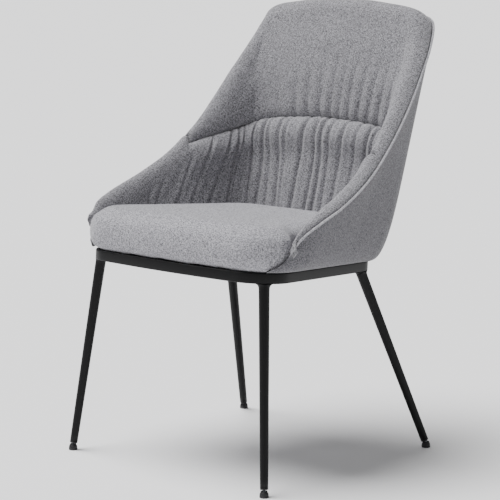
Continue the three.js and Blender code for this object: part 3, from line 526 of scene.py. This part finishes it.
# ---------- folds of the pads ----------
# Each fold: path position at the top and at the bottom in mm from the back's middle (right is
# positive), depth and half width in mm. Narrow pairs are tucks, the wide gaps stay smooth.
LUMBAR_FOLDS = [
    (-520, -540, 2.0, 5.0), (-455, -462, 2.2, 4.0), (-425, -440, 2.6, 4.5), (-372, -395, 3.0, 4.0),
    (-318, -345, 3.6, 4.5), (-265, -300, 4.6, 4.5), (-236, -246, 4.8, 4.0), (-214, -232, 3.0, 3.5),
    (-178, -170, 4.2, 4.0), (-146, -150, 5.2, 4.0), (-127, -128, 3.4, 3.5), (-92, -100, 5.4, 4.0),
    (-74, -82, 3.2, 3.5), (-38, -48, 5.6, 4.2), (-8, -12, 4.8, 4.0), (14, 6, 5.6, 4.0),
    (38, 34, 3.4, 3.5), (64, 68, 4.4, 4.0), (92, 100, 3.0, 3.5), (126, 118, 5.2, 4.2),
    (150, 146, 3.2, 3.5), (186, 176, 4.4, 4.2), (214, 206, 3.4, 3.6), (246, 226, 4.2, 4.2),
    (272, 250, 3.4, 3.6), (300, 286, 3.6, 4.4), (352, 330, 2.8, 4.2), (412, 398, 2.2, 4.5),
    (470, 462, 2.0, 5.0),
]
# Folds that rise from the seam into the upper pad and fade: foot and head position, height of
# the head above the seam, depth and half width.
UPPER_FOLDS = [
    (-190, -196, 60, 1.6, 5), (-118, -116, 80, 1.8, 5), (-74, -66, 105, 2.6, 5),
    (-44, -34, 120, 3.0, 5), (-14, -2, 130, 3.0, 5), (13, 28, 145, 3.2, 5),
    (33, 52, 155, 3.2, 5), (54, 76, 160, 3.4, 5), (78, 104, 165, 3.2, 5),
    (102, 130, 165, 3.0, 5), (127, 154, 155, 3.0, 5.5), (156, 180, 125, 2.4, 5.5),
    (184, 204, 105, 2.0, 6), (214, 234, 90, 1.8, 6),
]


def fold_relief(length, place, depth, width):
    """Depth of one fold across the path: a sharp valley with one steep and one slow flank."""
    x = (length - place) / width
    valley = np.exp(-np.abs(x) * np.where(x < 0, 1.0, 0.55))
    swell = 0.28 * np.exp(-((x - 3.2) / 2.2) ** 2) + 0.22 * np.exp(-((x + 2.4) / 1.8) ** 2)
    return depth * (valley - swell)


def lumbar_folds(side, down):
    """Depth of all folds of the lumbar pad: full under the seam, softer half way down, and full
    again where the cushion presses on them."""
    length = path_of(side)
    v = 1 - down
    strength = 0.6 + 0.4 * (2 * v - 1) ** 2
    total = np.zeros_like(length)
    for high, low, depth, width in LUMBAR_FOLDS:
        bend = 5 * np.sin(np.pi * v + high * 0.05)
        place = low + (high - low) * v ** 1.4 + bend
        total += fold_relief(length, place, FOLD_DEPTH[0] * depth, width * (1.0 - 0.25 * v))
    return total * strength


def upper_folds(side, above_seam):
    """Depth of the folds of the upper pad: each fades with its height above the seam."""
    length = path_of(side)
    total = np.zeros_like(length)
    for foot, head, height, depth, width in UPPER_FOLDS:
        v = np.clip(above_seam / (FOLD_HEIGHT * height), 0, 1)
        place = foot + (head - foot) * v ** 1.3
        relief = fold_relief(length, place, FOLD_DEPTH[1] * depth, width * (0.9 + 0.7 * v))
        total += relief * (1 - v) ** 1.1
    return total


def wander(a, b, size):
    """Slow waves of height 1 or less over two lengths in mm, so that no stretch is flat."""
    return (0.5 * np.sin(a / size + 1.7 * np.sin(b / size * 0.7 + 0.4))
            + 0.3 * np.sin(b / size * 1.3 + 1.1 * np.sin(a / size * 0.6 + 2.0))
            + 0.2 * np.sin((a + b) / size * 2.1 + 0.9))


# ---------- tub pieces ----------
def roll_section(side, steps=26):
    """The padded roll over the rim as share and depth columns: from behind the piping over a
    crest to the full depth of the pads, a half ellipse whose inner foot lies lower."""
    thinner = 1 - 0.55 * smooth(np.abs(side), 0.8, LUMBAR_LAST)
    depth = (tub_depth(side) * thinner)[:, None] - PAD_TAPER * thinner[:, None] - ROLL_FROM
    crest = np.minimum(ROLL_RISE, 0.3 * depth)
    foot = np.minimum(ROLL_FOOT, 0.75 * depth)
    angle = np.pi * np.linspace(0, 1, steps)[None, :]
    base = np.where(angle < np.pi / 2, -ROLL_BACK + 0 * depth, -foot)
    height = base + (crest - base) * np.sin(angle) ** 0.8
    up = 1 + height / rate(side)[:, None]
    return np.maximum(up, 0.4), ROLL_FROM + depth * (1 - np.cos(angle)) / 2


def sheet(side, steps=320):
    """The pads' outer face as one sheet of cloth, section by section: over the roll and down to
    the foot. Gives the points, the length along each section, and the roll's share of it."""
    roll_up, roll_depth = roll_section(side)
    down = np.linspace(0, 1, steps)[None, 1:]
    face_up = roll_up[:, -1:] + (PAD_FOOT - roll_up[:, -1:]) * down
    start_depth = roll_depth[:, -1:]
    full_depth = tub_depth(side)[:, None] - PAD_TAPER * (face_up / roll_up[:, -1:])
    face_depth = full_depth + (start_depth - full_depth) * (1 - smooth(down, 0.0, 0.6))
    up = np.concatenate([roll_up, face_up], axis=1)
    depth = np.concatenate([roll_depth, face_depth], axis=1)
    points = tub_at(np.repeat(side[:, None], up.shape[1], axis=1), up, depth)
    points = eased_corners(side, points, roll_up.shape[1])
    steps_mm = np.linalg.norm(np.diff(points, axis=1), axis=2)
    length = np.concatenate([np.zeros((len(side), 1)), np.cumsum(steps_mm, axis=1)], axis=1)
    return points, length, length[:, roll_up.shape[1] - 1]


def eased_corners(side, points, roll_columns):
    """Rounds the sheet where the back turns into the arms: every point below the roll moves to
    the weighted mean of its neighbours along the path, as wadding bridges a tight corner."""
    step = abs(path_of(side[1]) - path_of(side[0]))
    reach = int(round(2.5 * CORNER_EASE / step))
    offsets = np.arange(-reach, reach + 1)
    weights = np.exp(-0.5 * (offsets * step / CORNER_EASE) ** 2)
    weights /= weights.sum()
    padded = np.concatenate([
        np.repeat(points[:1], reach, axis=0), points, np.repeat(points[-1:], reach, axis=0)])
    mean = sum(w * padded[reach + o:reach + o + len(points)] for o, w in zip(offsets, weights))
    column = np.arange(points.shape[1])[None, :, None]
    share = smooth(column, -0.6 * roll_columns, 1.1 * roll_columns)
    share = share * smooth(0.93 - np.abs(side), 0.0, 0.12)[:, None, None]
    return points + (mean - points) * share


def seam_length(side, points, length):
    """Length along each section at which the seam crosses it: at the seam's height on the face,
    then up over the roll, so that it ends at the piping."""
    drop = SEAM_DROP * (np.abs(side) / SEAM_END) ** SEAM_ARC
    height = SEAT_HEIGHT + SEAM_RISE - drop
    past_crest = 12    # columns of the roll that still climb
    crossing = np.array([
        np.interp(-h, -row[past_crest:, 2], l[past_crest:])
        for h, row, l in zip(height, points, length)])
    return crossing * (1 - smooth(np.abs(side), SEAM_END + 0.005, SEAM_LAST))


def resampled(points, length, start, end, count, power=1.0):
    """Columns of points between two lengths along each section."""
    t = np.linspace(0, 1, count) ** power
    out = np.empty((len(points), count, 3))
    at = start[:, None] + (end - start)[:, None] * t[None, :]
    for row in range(len(points)):
        for axis in range(3):
            out[row, :, axis] = np.interp(at[row], length[row], points[row, :, axis])
    return out, at


def raised(points, relief):
    """Grid of points moved by relief along the grid's own normals, away from the cover."""
    along = np.gradient(points, axis=0)
    across = np.gradient(points, axis=1)
    normal = np.cross(across, along)
    normal /= np.maximum(np.linalg.norm(normal, axis=2, keepdims=True), 1e-9)
    return points + normal * relief[..., None]


def rear_points(side, low, high, count, depth=None):
    """Columns of points on the pads' rear face between two shares."""
    up = low[:, None] + (high - low)[:, None] * np.linspace(0, 1, count)[None, :]
    deep = np.minimum(PAD_BACK, tub_depth(side) - PAD_TAPER - 3) if depth is None else depth
    grid = np.repeat(side[:, None], count, axis=1)
    return tub_at(grid, up, np.repeat(np.broadcast_to(deep, side.shape)[:, None], count, axis=1))


def upper_pad():
    """Upper back pad: one sheet from the piping over the roll and down to the seam, fuller in
    the middle, drawn in at the seam, with folds that rise from the seam and fade."""
    side = even_sides(-SEAM_LAST, SEAM_LAST, 2.6)
    points, length, roll_length = sheet(side)
    seam = seam_length(side, points, length)
    face, at = resampled(points, length, 0 * seam, np.maximum(seam - SEAM_GAP, 0.6), UPPER_COLUMNS)
    s = np.repeat(side[:, None], UPPER_COLUMNS, axis=1)
    above = seam[:, None] - at
    from_roll = at - roll_length[:, None]
    # drawn in sharply at the stitches, softly over a hand's width above, and full in the middle
    relief = -SEAM_PULL * np.exp(-above / 9) * smooth(seam, 10, 60)[:, None]
    relief -= 5 * np.exp(-above / 40) * smooth(seam, 40, 120)[:, None]
    relief += 4 * smooth(from_roll, 0, 70) * smooth(above, 20, 90)
    relief -= upper_folds(s, above) * smooth(from_roll, -10, 30)
    # loose cloth: slow waves off the roll, and quick ones everywhere
    (slow, slow_length), (quick, quick_length) = UPPER_WAVES
    relief += slow * wander(path_of(s), above, slow_length) * smooth(from_roll, -20, 20)
    relief += quick * wander(path_of(s), above, quick_length)
    face = raised(face, relief)
    edge = 1 - SHELL_EDGE / rate(side)
    rear = rear_points(side, np.minimum(seam_share(side), edge) + SEAM_GAP / rate(side), edge, 8)
    ledge_up = 1 - LEDGE_DROP / rate(side)
    ledge = rear_points(side, ledge_up, ledge_up, 1, ROLL_FROM)
    piece = loft("upper_back_cushion", np.concatenate([rear, ledge, face], axis=1), TUB_CLOTH_SHADED)
    finish_piece(piece, "chair_body", ["upper_back_pad"])


def lumbar_pad():
    """Lumbar and arm pads in one: the sheet goes on from the seam to the foot, plump under the
    seam, and past the seam's ends it takes the roll over the rim too. Gathered folds run from
    the seam down to the cushion."""
    side = even_sides(-LUMBAR_LAST, LUMBAR_LAST, 2.0)
    points, length, roll_length = sheet(side)
    seam = seam_length(side, points, length)
    takes_rim = smooth(np.abs(side), SEAM_LAST, SEAM_LAST + 0.006)
    start = (seam + SEAM_GAP) * (1 - takes_rim)
    face, at = resampled(points, length, start, length[:, -1], LUMBAR_COLUMNS)
    s = np.repeat(side[:, None], LUMBAR_COLUMNS, axis=1)
    under = at - seam[:, None]
    from_roll = at - roll_length[:, None]
    whole = (length[:, -1] - seam)[:, None]
    ends = smooth(LUMBAR_LAST - np.abs(s), 0.0, 0.1)
    across = 1 - smooth(np.abs(s), 0.5, 0.66)
    # drawn in at the stitches, then plump under them across the back
    relief = -SEAM_PULL * np.exp(-np.abs(under) / 7) * smooth(SEAM_LAST - np.abs(s), 0, 0.04)
    relief += PLUMP_UNDER_SEAM * np.exp(-((under - PLUMP_PLACE) / PLUMP_PLACE) ** 2) * across
    share = np.clip(under / np.maximum(whole, 1), 0, 1)
    relief -= lumbar_folds(s, share) * ends * smooth(from_roll, -6, 26)
    # loose cloth: slow waves off the roll, and quick ones everywhere
    (slow, slow_length), (quick, quick_length) = LUMBAR_WAVES
    relief += slow * wander(path_of(s), at, slow_length) * ends * smooth(from_roll, -20, 20)
    relief += quick * wander(path_of(s), at, quick_length) * ends
    face = raised(face, relief)
    edge = 1 - SHELL_EDGE / rate(side)
    seam_up = np.minimum(seam_share(side) - SEAM_GAP / rate(side), edge)
    top = np.maximum(seam_up + (edge - seam_up) * takes_rim, 0.3)
    rear = rear_points(side, np.full_like(side, PAD_FOOT), top, 10)
    ledge_up = top + (1 - LEDGE_DROP / rate(side) - top) * takes_rim
    ledge_depth = PAD_BACK + (ROLL_FROM - PAD_BACK) * takes_rim
    ledge_depth = np.minimum(ledge_depth, tub_depth(side) - PAD_TAPER - 3)
    ledge = rear_points(side, np.maximum(ledge_up, 0.3), ledge_up, 1, ledge_depth)
    piece = loft("lumbar_and_arm_cushion", np.concatenate([rear, ledge, face], axis=1), TUB_CLOTH_SHADED)
    finish_piece(piece, "chair_body", ["lumbar_pad"])


def outer_cover():
    """Outer cover: the outer surface from the foot to under the piping, its inner face 3 mm in,
    with slow waves of under 1 mm where cloth lies over wadding."""
    side = even_sides(-1.0, 1.0, 6.0)
    top = 1 - COVER_DROP / rate(side)
    t = np.linspace(0, 1, 48)[None, :]
    outer_up = 0.004 + (top - 0.004)[:, None] * t ** 1.1
    s = np.repeat(side[:, None], 48, axis=1)
    height = outer_up * np.interp(side, SIDES, REACH)[:, None]
    waves = COVER_WAVES[0] * wander(path_of(s), height, COVER_WAVES[1]) * smooth(height, 0, 40)
    near_rim = (top[:, None] - outer_up) * rate(side)[:, None]
    outer = 0.7 - waves + 1.6 * np.exp(-near_rim / 4)
    inner = np.full_like(outer, COVER_THICKNESS)
    up = np.concatenate([outer_up, outer_up[:, ::-1]], axis=1)
    depth = np.concatenate([outer, inner[:, ::-1]], axis=1)
    rows = tub_at(np.repeat(side[:, None], up.shape[1], axis=1), up, depth)
    piece = loft("outer_back_panel", rows, OUTER_CLOTH_SHADED)
    finish_piece(piece, "chair_body", ["outer_back_cover"])


def tube(name, path, across, radii, material, around=14):
    """Round tube along a path: rings at right angles to it, with a radius for each point, and
    rounded ends where the radius falls to nothing."""
    ahead = np.gradient(path, axis=0)
    ahead /= np.linalg.norm(ahead, axis=1, keepdims=True)
    first = across - ahead * np.sum(across * ahead, axis=1, keepdims=True)
    first /= np.linalg.norm(first, axis=1, keepdims=True)
    second = np.cross(ahead, first)
    angle = np.linspace(0, 2 * np.pi, around, endpoint=False)
    ring = (np.cos(angle)[None, :, None] * first[:, None, :]
            + np.sin(angle)[None, :, None] * second[:, None, :])
    return loft(name, path[:, None, :] + ring * radii[:, None, None], material)


def piping():
    """Cord-filled piping along the rim, with the faint beat of the twisted cord inside."""
    side = even_sides(-PIPING_LAST, PIPING_LAST, 3.0)
    share = 1 - PIPING_DROP / rate(side)
    path = tub_at(side, share, np.full_like(side, PIPING_DEPTH))
    length = path_of(side)
    radii = PIPING_RADIUS + 0.12 * np.sin(length * 2 * np.pi / CORD_TWIST)
    ends = np.minimum(length - length[0], length[-1] - length)
    radii = radii * np.sqrt(np.clip(ends / PIPING_END_TAPER + 0.02, 0, 1))
    piece = tube("rim_cord_piping", path, tub_inward(side, share), radii, PIPING_CLOTH_HIGHLIT)
    finish_piece(piece, "chair_body", ["rim_piping"])


# ---------- seat cushion ----------
def cushion_shape(levels=26, inner=9):
    """Closed rows of the cushion in the seat's own frame: the outline grows by a rounded side
    profile, wider in front of the arms than between them, then closes over a crowned top."""
    t = np.linspace(0, 1, levels)
    side_profile = np.sin(np.pi * t ** 0.85) ** 0.5
    base = seat_outline(0.0)
    y = base[:, 1]
    free = 1 - smooth(y, RING_Y[0] + ARM_SETBACK + 2, RING_Y[0] + ARM_SETBACK + 50)
    rows = []
    for share, bulge in zip(t, side_profile):
        tuck = -TOP_TUCK * smooth(share, 0.8, 1.0) - FOOT_TUCK * (1 - smooth(share, 0.0, 0.1))
        out = (CUSHION_OVERHANG + 1) * bulge + tuck
        corner = CORNER_FULLNESS * bulge * smooth(np.abs(base[:, 0]), 130, 235) * free
        line = seat_outline(out)
        away = line - seat_outline(out - 1)
        line = line + away / np.linalg.norm(away, axis=1, keepdims=True) * corner[:, None]
        inside = seat_outline(min(out, -3.0 + tuck * 0.4))
        line = line * free[:, None] + inside * (1 - free)[:, None]
        z = 0.6 + share * (CUSHION_HEIGHT - 1.5)
        rows.append(np.column_stack([line, np.full(len(line), z)]))
    rim = rows[-1]
    middle = rim.mean(axis=0)
    for share in np.linspace(1, 0.03, inner + 1)[1:]:
        ring = middle + (rim - middle) * share
        ring[:, 2] = rim[:, 2] + (CUSHION_CROWN - 3) * (1 - share ** 2)
        rows.append(ring)
    return np.stack(rows)


def seat_cushion():
    """Seat cushion: the rounded form, remeshed and blown up a little as cloth over foam, each
    point held within a few millimetres of where it began, then smoothed by one subdivision."""
    rows = raked(cushion_shape())
    piece = loft("seat_box_cushion", rows, SEAT_CLOTH_LIT)
    inflate(piece, CUSHION_CELL * MM, CUSHION_PRESSURE, CUSHION_MOVE * MM)
    finish_piece(piece, "chair_body", ["seat_cushion"])


def inflate(piece, voxel, pressure, limit):
    """Remeshes a closed piece to even cells, runs cloth with inner pressure and no gravity for
    a few frames, and keeps at most the given distance of each point's move."""
    bpy.context.view_layer.objects.active = piece
    piece.select_set(True)
    remesh = piece.modifiers.new("even_cells", "REMESH")
    remesh.mode = "VOXEL"
    remesh.voxel_size = voxel
    bpy.ops.object.modifier_apply(modifier=remesh.name)
    start = vertex_array(piece)
    cloth = piece.modifiers.new("cloth", "CLOTH")
    cloth.settings.use_pressure = True
    cloth.settings.uniform_pressure_force = pressure
    cloth.settings.effector_weights.gravity = 0
    cloth.settings.tension_stiffness = 30
    cloth.settings.compression_stiffness = 30
    cloth.settings.bending_stiffness = 4
    scene = bpy.context.scene
    for number in range(1, CLOTH_FRAMES + 1):
        scene.frame_set(number)
    shown = piece.evaluated_get(bpy.context.evaluated_depsgraph_get())
    moved = vertex_array(shown) - start
    piece.modifiers.remove(cloth)
    scene.frame_set(1)
    size = np.linalg.norm(moved, axis=1, keepdims=True)
    moved *= np.minimum(1, limit / np.maximum(size, 1e-9))
    piece.data.vertices.foreach_set("co", (start + moved).ravel())
    finer = piece.modifiers.new("finer", "SUBSURF")
    finer.levels = finer.render_levels = 1
    bpy.ops.object.modifier_apply(modifier=finer.name)
    piece.data.shade_smooth()
    piece.select_set(False)


def vertex_array(shown):
    """Positions of an object's vertices as rows."""
    values = np.empty(len(shown.data.vertices) * 3)
    shown.data.vertices.foreach_get("co", values)
    return values.reshape(-1, 3)


# ---------- steel frame ----------
def steel_ring():
    """Square tube swept round the outline, its four edges rounded, lying under the seat plane."""
    half, edge = RING_TUBE / 2, RING_EDGE
    corner = np.linspace(0, np.pi / 2, 6)
    section = np.concatenate([
        np.stack([sx * (half - edge) + edge * np.cos(corner + start),
                  sy * (half - edge) + edge * np.sin(corner + start)], axis=1)
        for sx, sy, start in (
            (1, 1, 0), (-1, 1, np.pi / 2), (-1, -1, np.pi), (1, -1, 1.5 * np.pi))])
    rows = []
    for across, up in section:
        line = seat_outline(across - half)
        rows.append(np.column_stack([line, np.full(len(line), up - half)]))
    rows = raked(np.stack(rows, axis=1))
    piece = loft("square_tube_ring", rows, POWDER_COAT, wrap=True)
    finish_piece(piece, "chair_body", ["seat_ring"])


def spokes(axis, first, count):
    """Even angles round an axis, and the unit directions there, the first of them given."""
    angle = np.linspace(0, 2 * np.pi, count, endpoint=False)
    return angle, np.cos(angle)[:, None] * first + np.sin(angle)[:, None] * np.cross(axis, first)


def leg(label, station, foot, hand):
    """Tapered round tube from the foot to the ring's underside. Around its axis each line runs to
    where it meets that plane, and a weld fillet flares out along the ring over the last few
    millimetres. The lower end turns in over the glide's plug. Gives the axis."""
    at, out = outline_at(station, -RING_TUBE / 2)
    top = raked(np.array([at[0] * hand, at[1], -RING_TUBE]))
    along = np.array([out[1] * hand, -out[0], 0.0])
    ball = np.array([foot[0] * hand, foot[1], BALL_HEIGHT])
    length = np.linalg.norm(top - ball)
    axis = (top - ball) / length
    first = along - axis * (along @ axis)
    first /= np.linalg.norm(first)
    angle, radial = spokes(axis, first, 48)
    normal = raked(np.array([0, 0, 1.0])) - raked(np.zeros(3))
    start = (LEG_END_HEIGHT - BALL_HEIGHT) / axis[2]
    end_radius, top_radius = LEG_DIAMETERS[0] / 2, LEG_DIAMETERS[1] / 2
    t = np.concatenate([np.linspace(0, 0.93, 24), np.linspace(0.935, 1, 22)])
    rows = []
    for share in t:
        radius = end_radius + (top_radius - end_radius) * share
        edge = radial * radius
        # distance along the axis at which this line of the tube meets the plane of the ring
        meets = length - (edge @ normal) / (axis @ normal)
        distance = (1 - share) * (meets - start)
        flare = WELD_REACH * np.exp(-distance / 2.6) * np.cos(angle) ** 2
        ripple = 0.25 * np.sin(distance * 2.4) * np.exp(-distance / 5)
        line = ball + axis * (start + share * (meets - start))[:, None]
        rows.append(line + edge + radial * (flare + ripple * np.cos(angle) ** 2)[:, None])
    inner = ball + axis * start + radial * (end_radius - LEG_WALL)
    deep = ball + axis * (start + 4) + radial * (end_radius - LEG_WALL)
    rows = np.stack([deep, inner] + rows)
    rows[-1] = rows[-1] + normal * (-0.05)
    piece = loft(f"leg_tube_{label}", rows, POWDER_COAT)
    finish_piece(piece, "chair_body", [f"leg_{label}"])
    return axis


def lathe(name, profile, axis, origin, material, around=40):
    """Closed solid turned from a profile of radius and height pairs about an axis."""
    profile = np.asarray(profile, dtype=float)
    axis = axis / np.linalg.norm(axis)
    helper = np.array([1.0, 0, 0]) if abs(axis[0]) < 0.9 else np.array([0, 1.0, 0])
    first = np.cross(axis, helper)
    first /= np.linalg.norm(first)
    _, radial = spokes(axis, first, around)
    rows = origin + profile[:, 0][:, None, None] * radial + profile[:, 1][:, None, None] * axis
    return loft(name, rows, material)


# Profiles of the glide as radius and height above the ball's centre: the foot's flat underside
# and groove from the axis outwards, and its lip and socket back to the axis.
NEAR_AXIS = 0.05             # a turned piece starts this far from its axis
BELL_BASE = [(NEAR_AXIS, -7.4), (7.4, -7.4), (8.1, -7.1), (8.5, -6.5), (8.5, -5.4), (8.3, -5.1),
             (8.5, -4.8)]
BELL_LIP = [(6.4, 3.6), (6.1, 4.3), (5.7, 4.6), (5.5, 4.5), (4.6, 3.2), (3.85, 2.2), (4.25, 1.0),
            (4.3, -0.6), (3.0, -3.2), (NEAR_AXIS, -4.3)]
BALL_RADIUS, STUD_RADIUS, STUD_LENGTH = 3.9, 2.3, 14.0


def glide(label, foot, hand, axis):
    """Ball glide: bell-shaped foot with a rounded shoulder and a small groove, on a steel ball
    and stud, and the plug's collar under the leg."""
    ball = np.array([foot[0] * hand, foot[1], BALL_HEIGHT])
    turn = np.linspace(0, np.pi / 2, 8)
    bell = [(6.1 + 2.4 * math.cos(a), -4.8 + 7.4 * math.sin(a)) for a in turn]
    foot_piece = lathe(f"glide_bell_{label}", BELL_BASE + bell[:-1] + BELL_LIP,
                       np.array([0, 0, 1.0]), ball, NYLON)
    finish_piece(foot_piece, f"pad_{label}", [f"glide_pad_{label}"])
    arc = np.linspace(-np.pi / 2 + 0.02, math.acos(STUD_RADIUS / BALL_RADIUS), 14)
    stud = [(BALL_RADIUS * math.cos(a), BALL_RADIUS * math.sin(a)) for a in arc]
    stud += [(STUD_RADIUS, STUD_LENGTH), (NEAR_AXIS, STUD_LENGTH)]
    stud_piece = lathe(f"glide_ball_stud_{label}", stud, axis, ball, ZINC, around=28)
    finish_piece(stud_piece, "chair_body", [f"glide_stud_{label}"])
    start = (LEG_END_HEIGHT - BALL_HEIGHT) / axis[2]
    collar = [(2.6, start - 2.2), (6.6, start - 2.2), (7.3, start - 1.7), (7.5, start - 1.1),
              (7.5, start - 0.3), (5.6, start - 0.3), (5.6, start + 3), (2.6, start + 3)]
    collar_piece = lathe(f"glide_collar_{label}", collar + [collar[0]], axis, ball, NYLON)
    finish_piece(collar_piece, "chair_body")


def frame_pieces():
    """The ring, and at each corner a leg and its glide."""
    steel_ring()
    for side_name, hand in (("left", -1), ("right", 1)):
        for row, station, foot in (
                ("front", FRONT_LEG_STATION, FRONT_FOOT), ("rear", REAR_LEG_STATION, REAR_FOOT)):
            label = f"{row}_{side_name}"
            glide(label, foot, hand, leg(label, station, foot, hand))


# ---------- camera, light and floor ----------
def camera_and_light():
    """Long-lens camera at the front right, slightly above the seat; pale floor; one large soft
    light from above and the camera's left, and a dim even light from all round."""
    data = bpy.data.cameras.new("camera")
    data.sensor_width = 36
    data.lens = 147.8
    data.shift_x, data.shift_y = -0.0024, 0.0018
    data.clip_end = 200
    camera = bpy.data.objects.new("camera", data)
    azimuth, elevation, distance = math.radians(42.6), math.radians(9.04), 3.957
    target = np.array([0, SHIFT * MM, 0.392])
    back = np.array([math.sin(azimuth) * math.cos(elevation),
                     -math.cos(azimuth) * math.cos(elevation), math.sin(elevation)])
    aim(camera, target + back * distance, target)
    bpy.context.scene.camera = camera

    left = np.array([-math.cos(azimuth), -math.sin(azimuth), 0])
    front = np.array([math.sin(azimuth), -math.cos(azimuth), 0])
    sun = bpy.data.lights.new("key", "SUN")
    sun.energy = 5.4
    sun.angle = math.radians(40)
    place = target + left * 0.75 - front * 0.15 + (0, 0, 2.0)
    aim(bpy.data.objects.new("key", sun), place, target)

    world = bpy.data.worlds.new("studio")
    bpy.context.scene.world = world
    world.use_nodes = True
    background = world.node_tree.nodes["Background"]
    background.inputs["Color"].default_value = srgb("ffffff")
    background.inputs["Strength"].default_value = 0.30

    size = 60.0
    mesh = bpy.data.meshes.new("floor")
    corners = [(-size, -size, 0), (size, -size, 0), (size, size, 0), (-size, size, 0)]
    mesh.from_pydata(corners, [], [(0, 1, 2, 3)])
    floor = bpy.data.objects.new("floor", mesh)
    bpy.context.collection.objects.link(floor)
    material, _, shader = new_material("painted_studio_floor")
    shader.inputs["Base Color"].default_value = srgb("f7f7f8")
    shader.inputs["Roughness"].default_value = 0.85
    mesh.materials.append(material)


def aim(thing, place, target):
    """Puts a camera or a light at a place, looking at the target with Z up."""
    ahead = np.asarray(target) - np.asarray(place)
    ahead = ahead / np.linalg.norm(ahead)
    right = np.cross(ahead, (0, 0, 1.0))
    right /= np.linalg.norm(right)
    up = np.cross(right, ahead)
    turn = np.eye(4)
    turn[:3, 0], turn[:3, 1], turn[:3, 2], turn[:3, 3] = right, up, -ahead, place
    thing.matrix_world = turn.T.tolist()
    bpy.context.collection.objects.link(thing)


def set_material(node, material):
    """Gives a carried-over solid the finish."""
    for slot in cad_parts[node].material_slots:
        slot.material = material


# ---------- the chair ----------
camera_and_light()
outer_cover()
piping()
upper_pad()
lumbar_pad()
seat_cushion()
frame_pieces()
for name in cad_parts:
    if name.startswith(("seat_bolt", "seat_washer", "tee_nut", "glide_stud")):
        set_material(name, ZINC)
    elif name.startswith("glide_p"):
        set_material(name, NYLON)
    elif name.startswith(("seat_tab", "leg", "seat_ring")):
        set_material(name, POWDER_COAT)
    elif name == "seat_board":
        set_material(name, PLYWOOD)
    elif name in ("tub_shell", "dust_cover"):
        set_material(name, DUST_CLOTH)
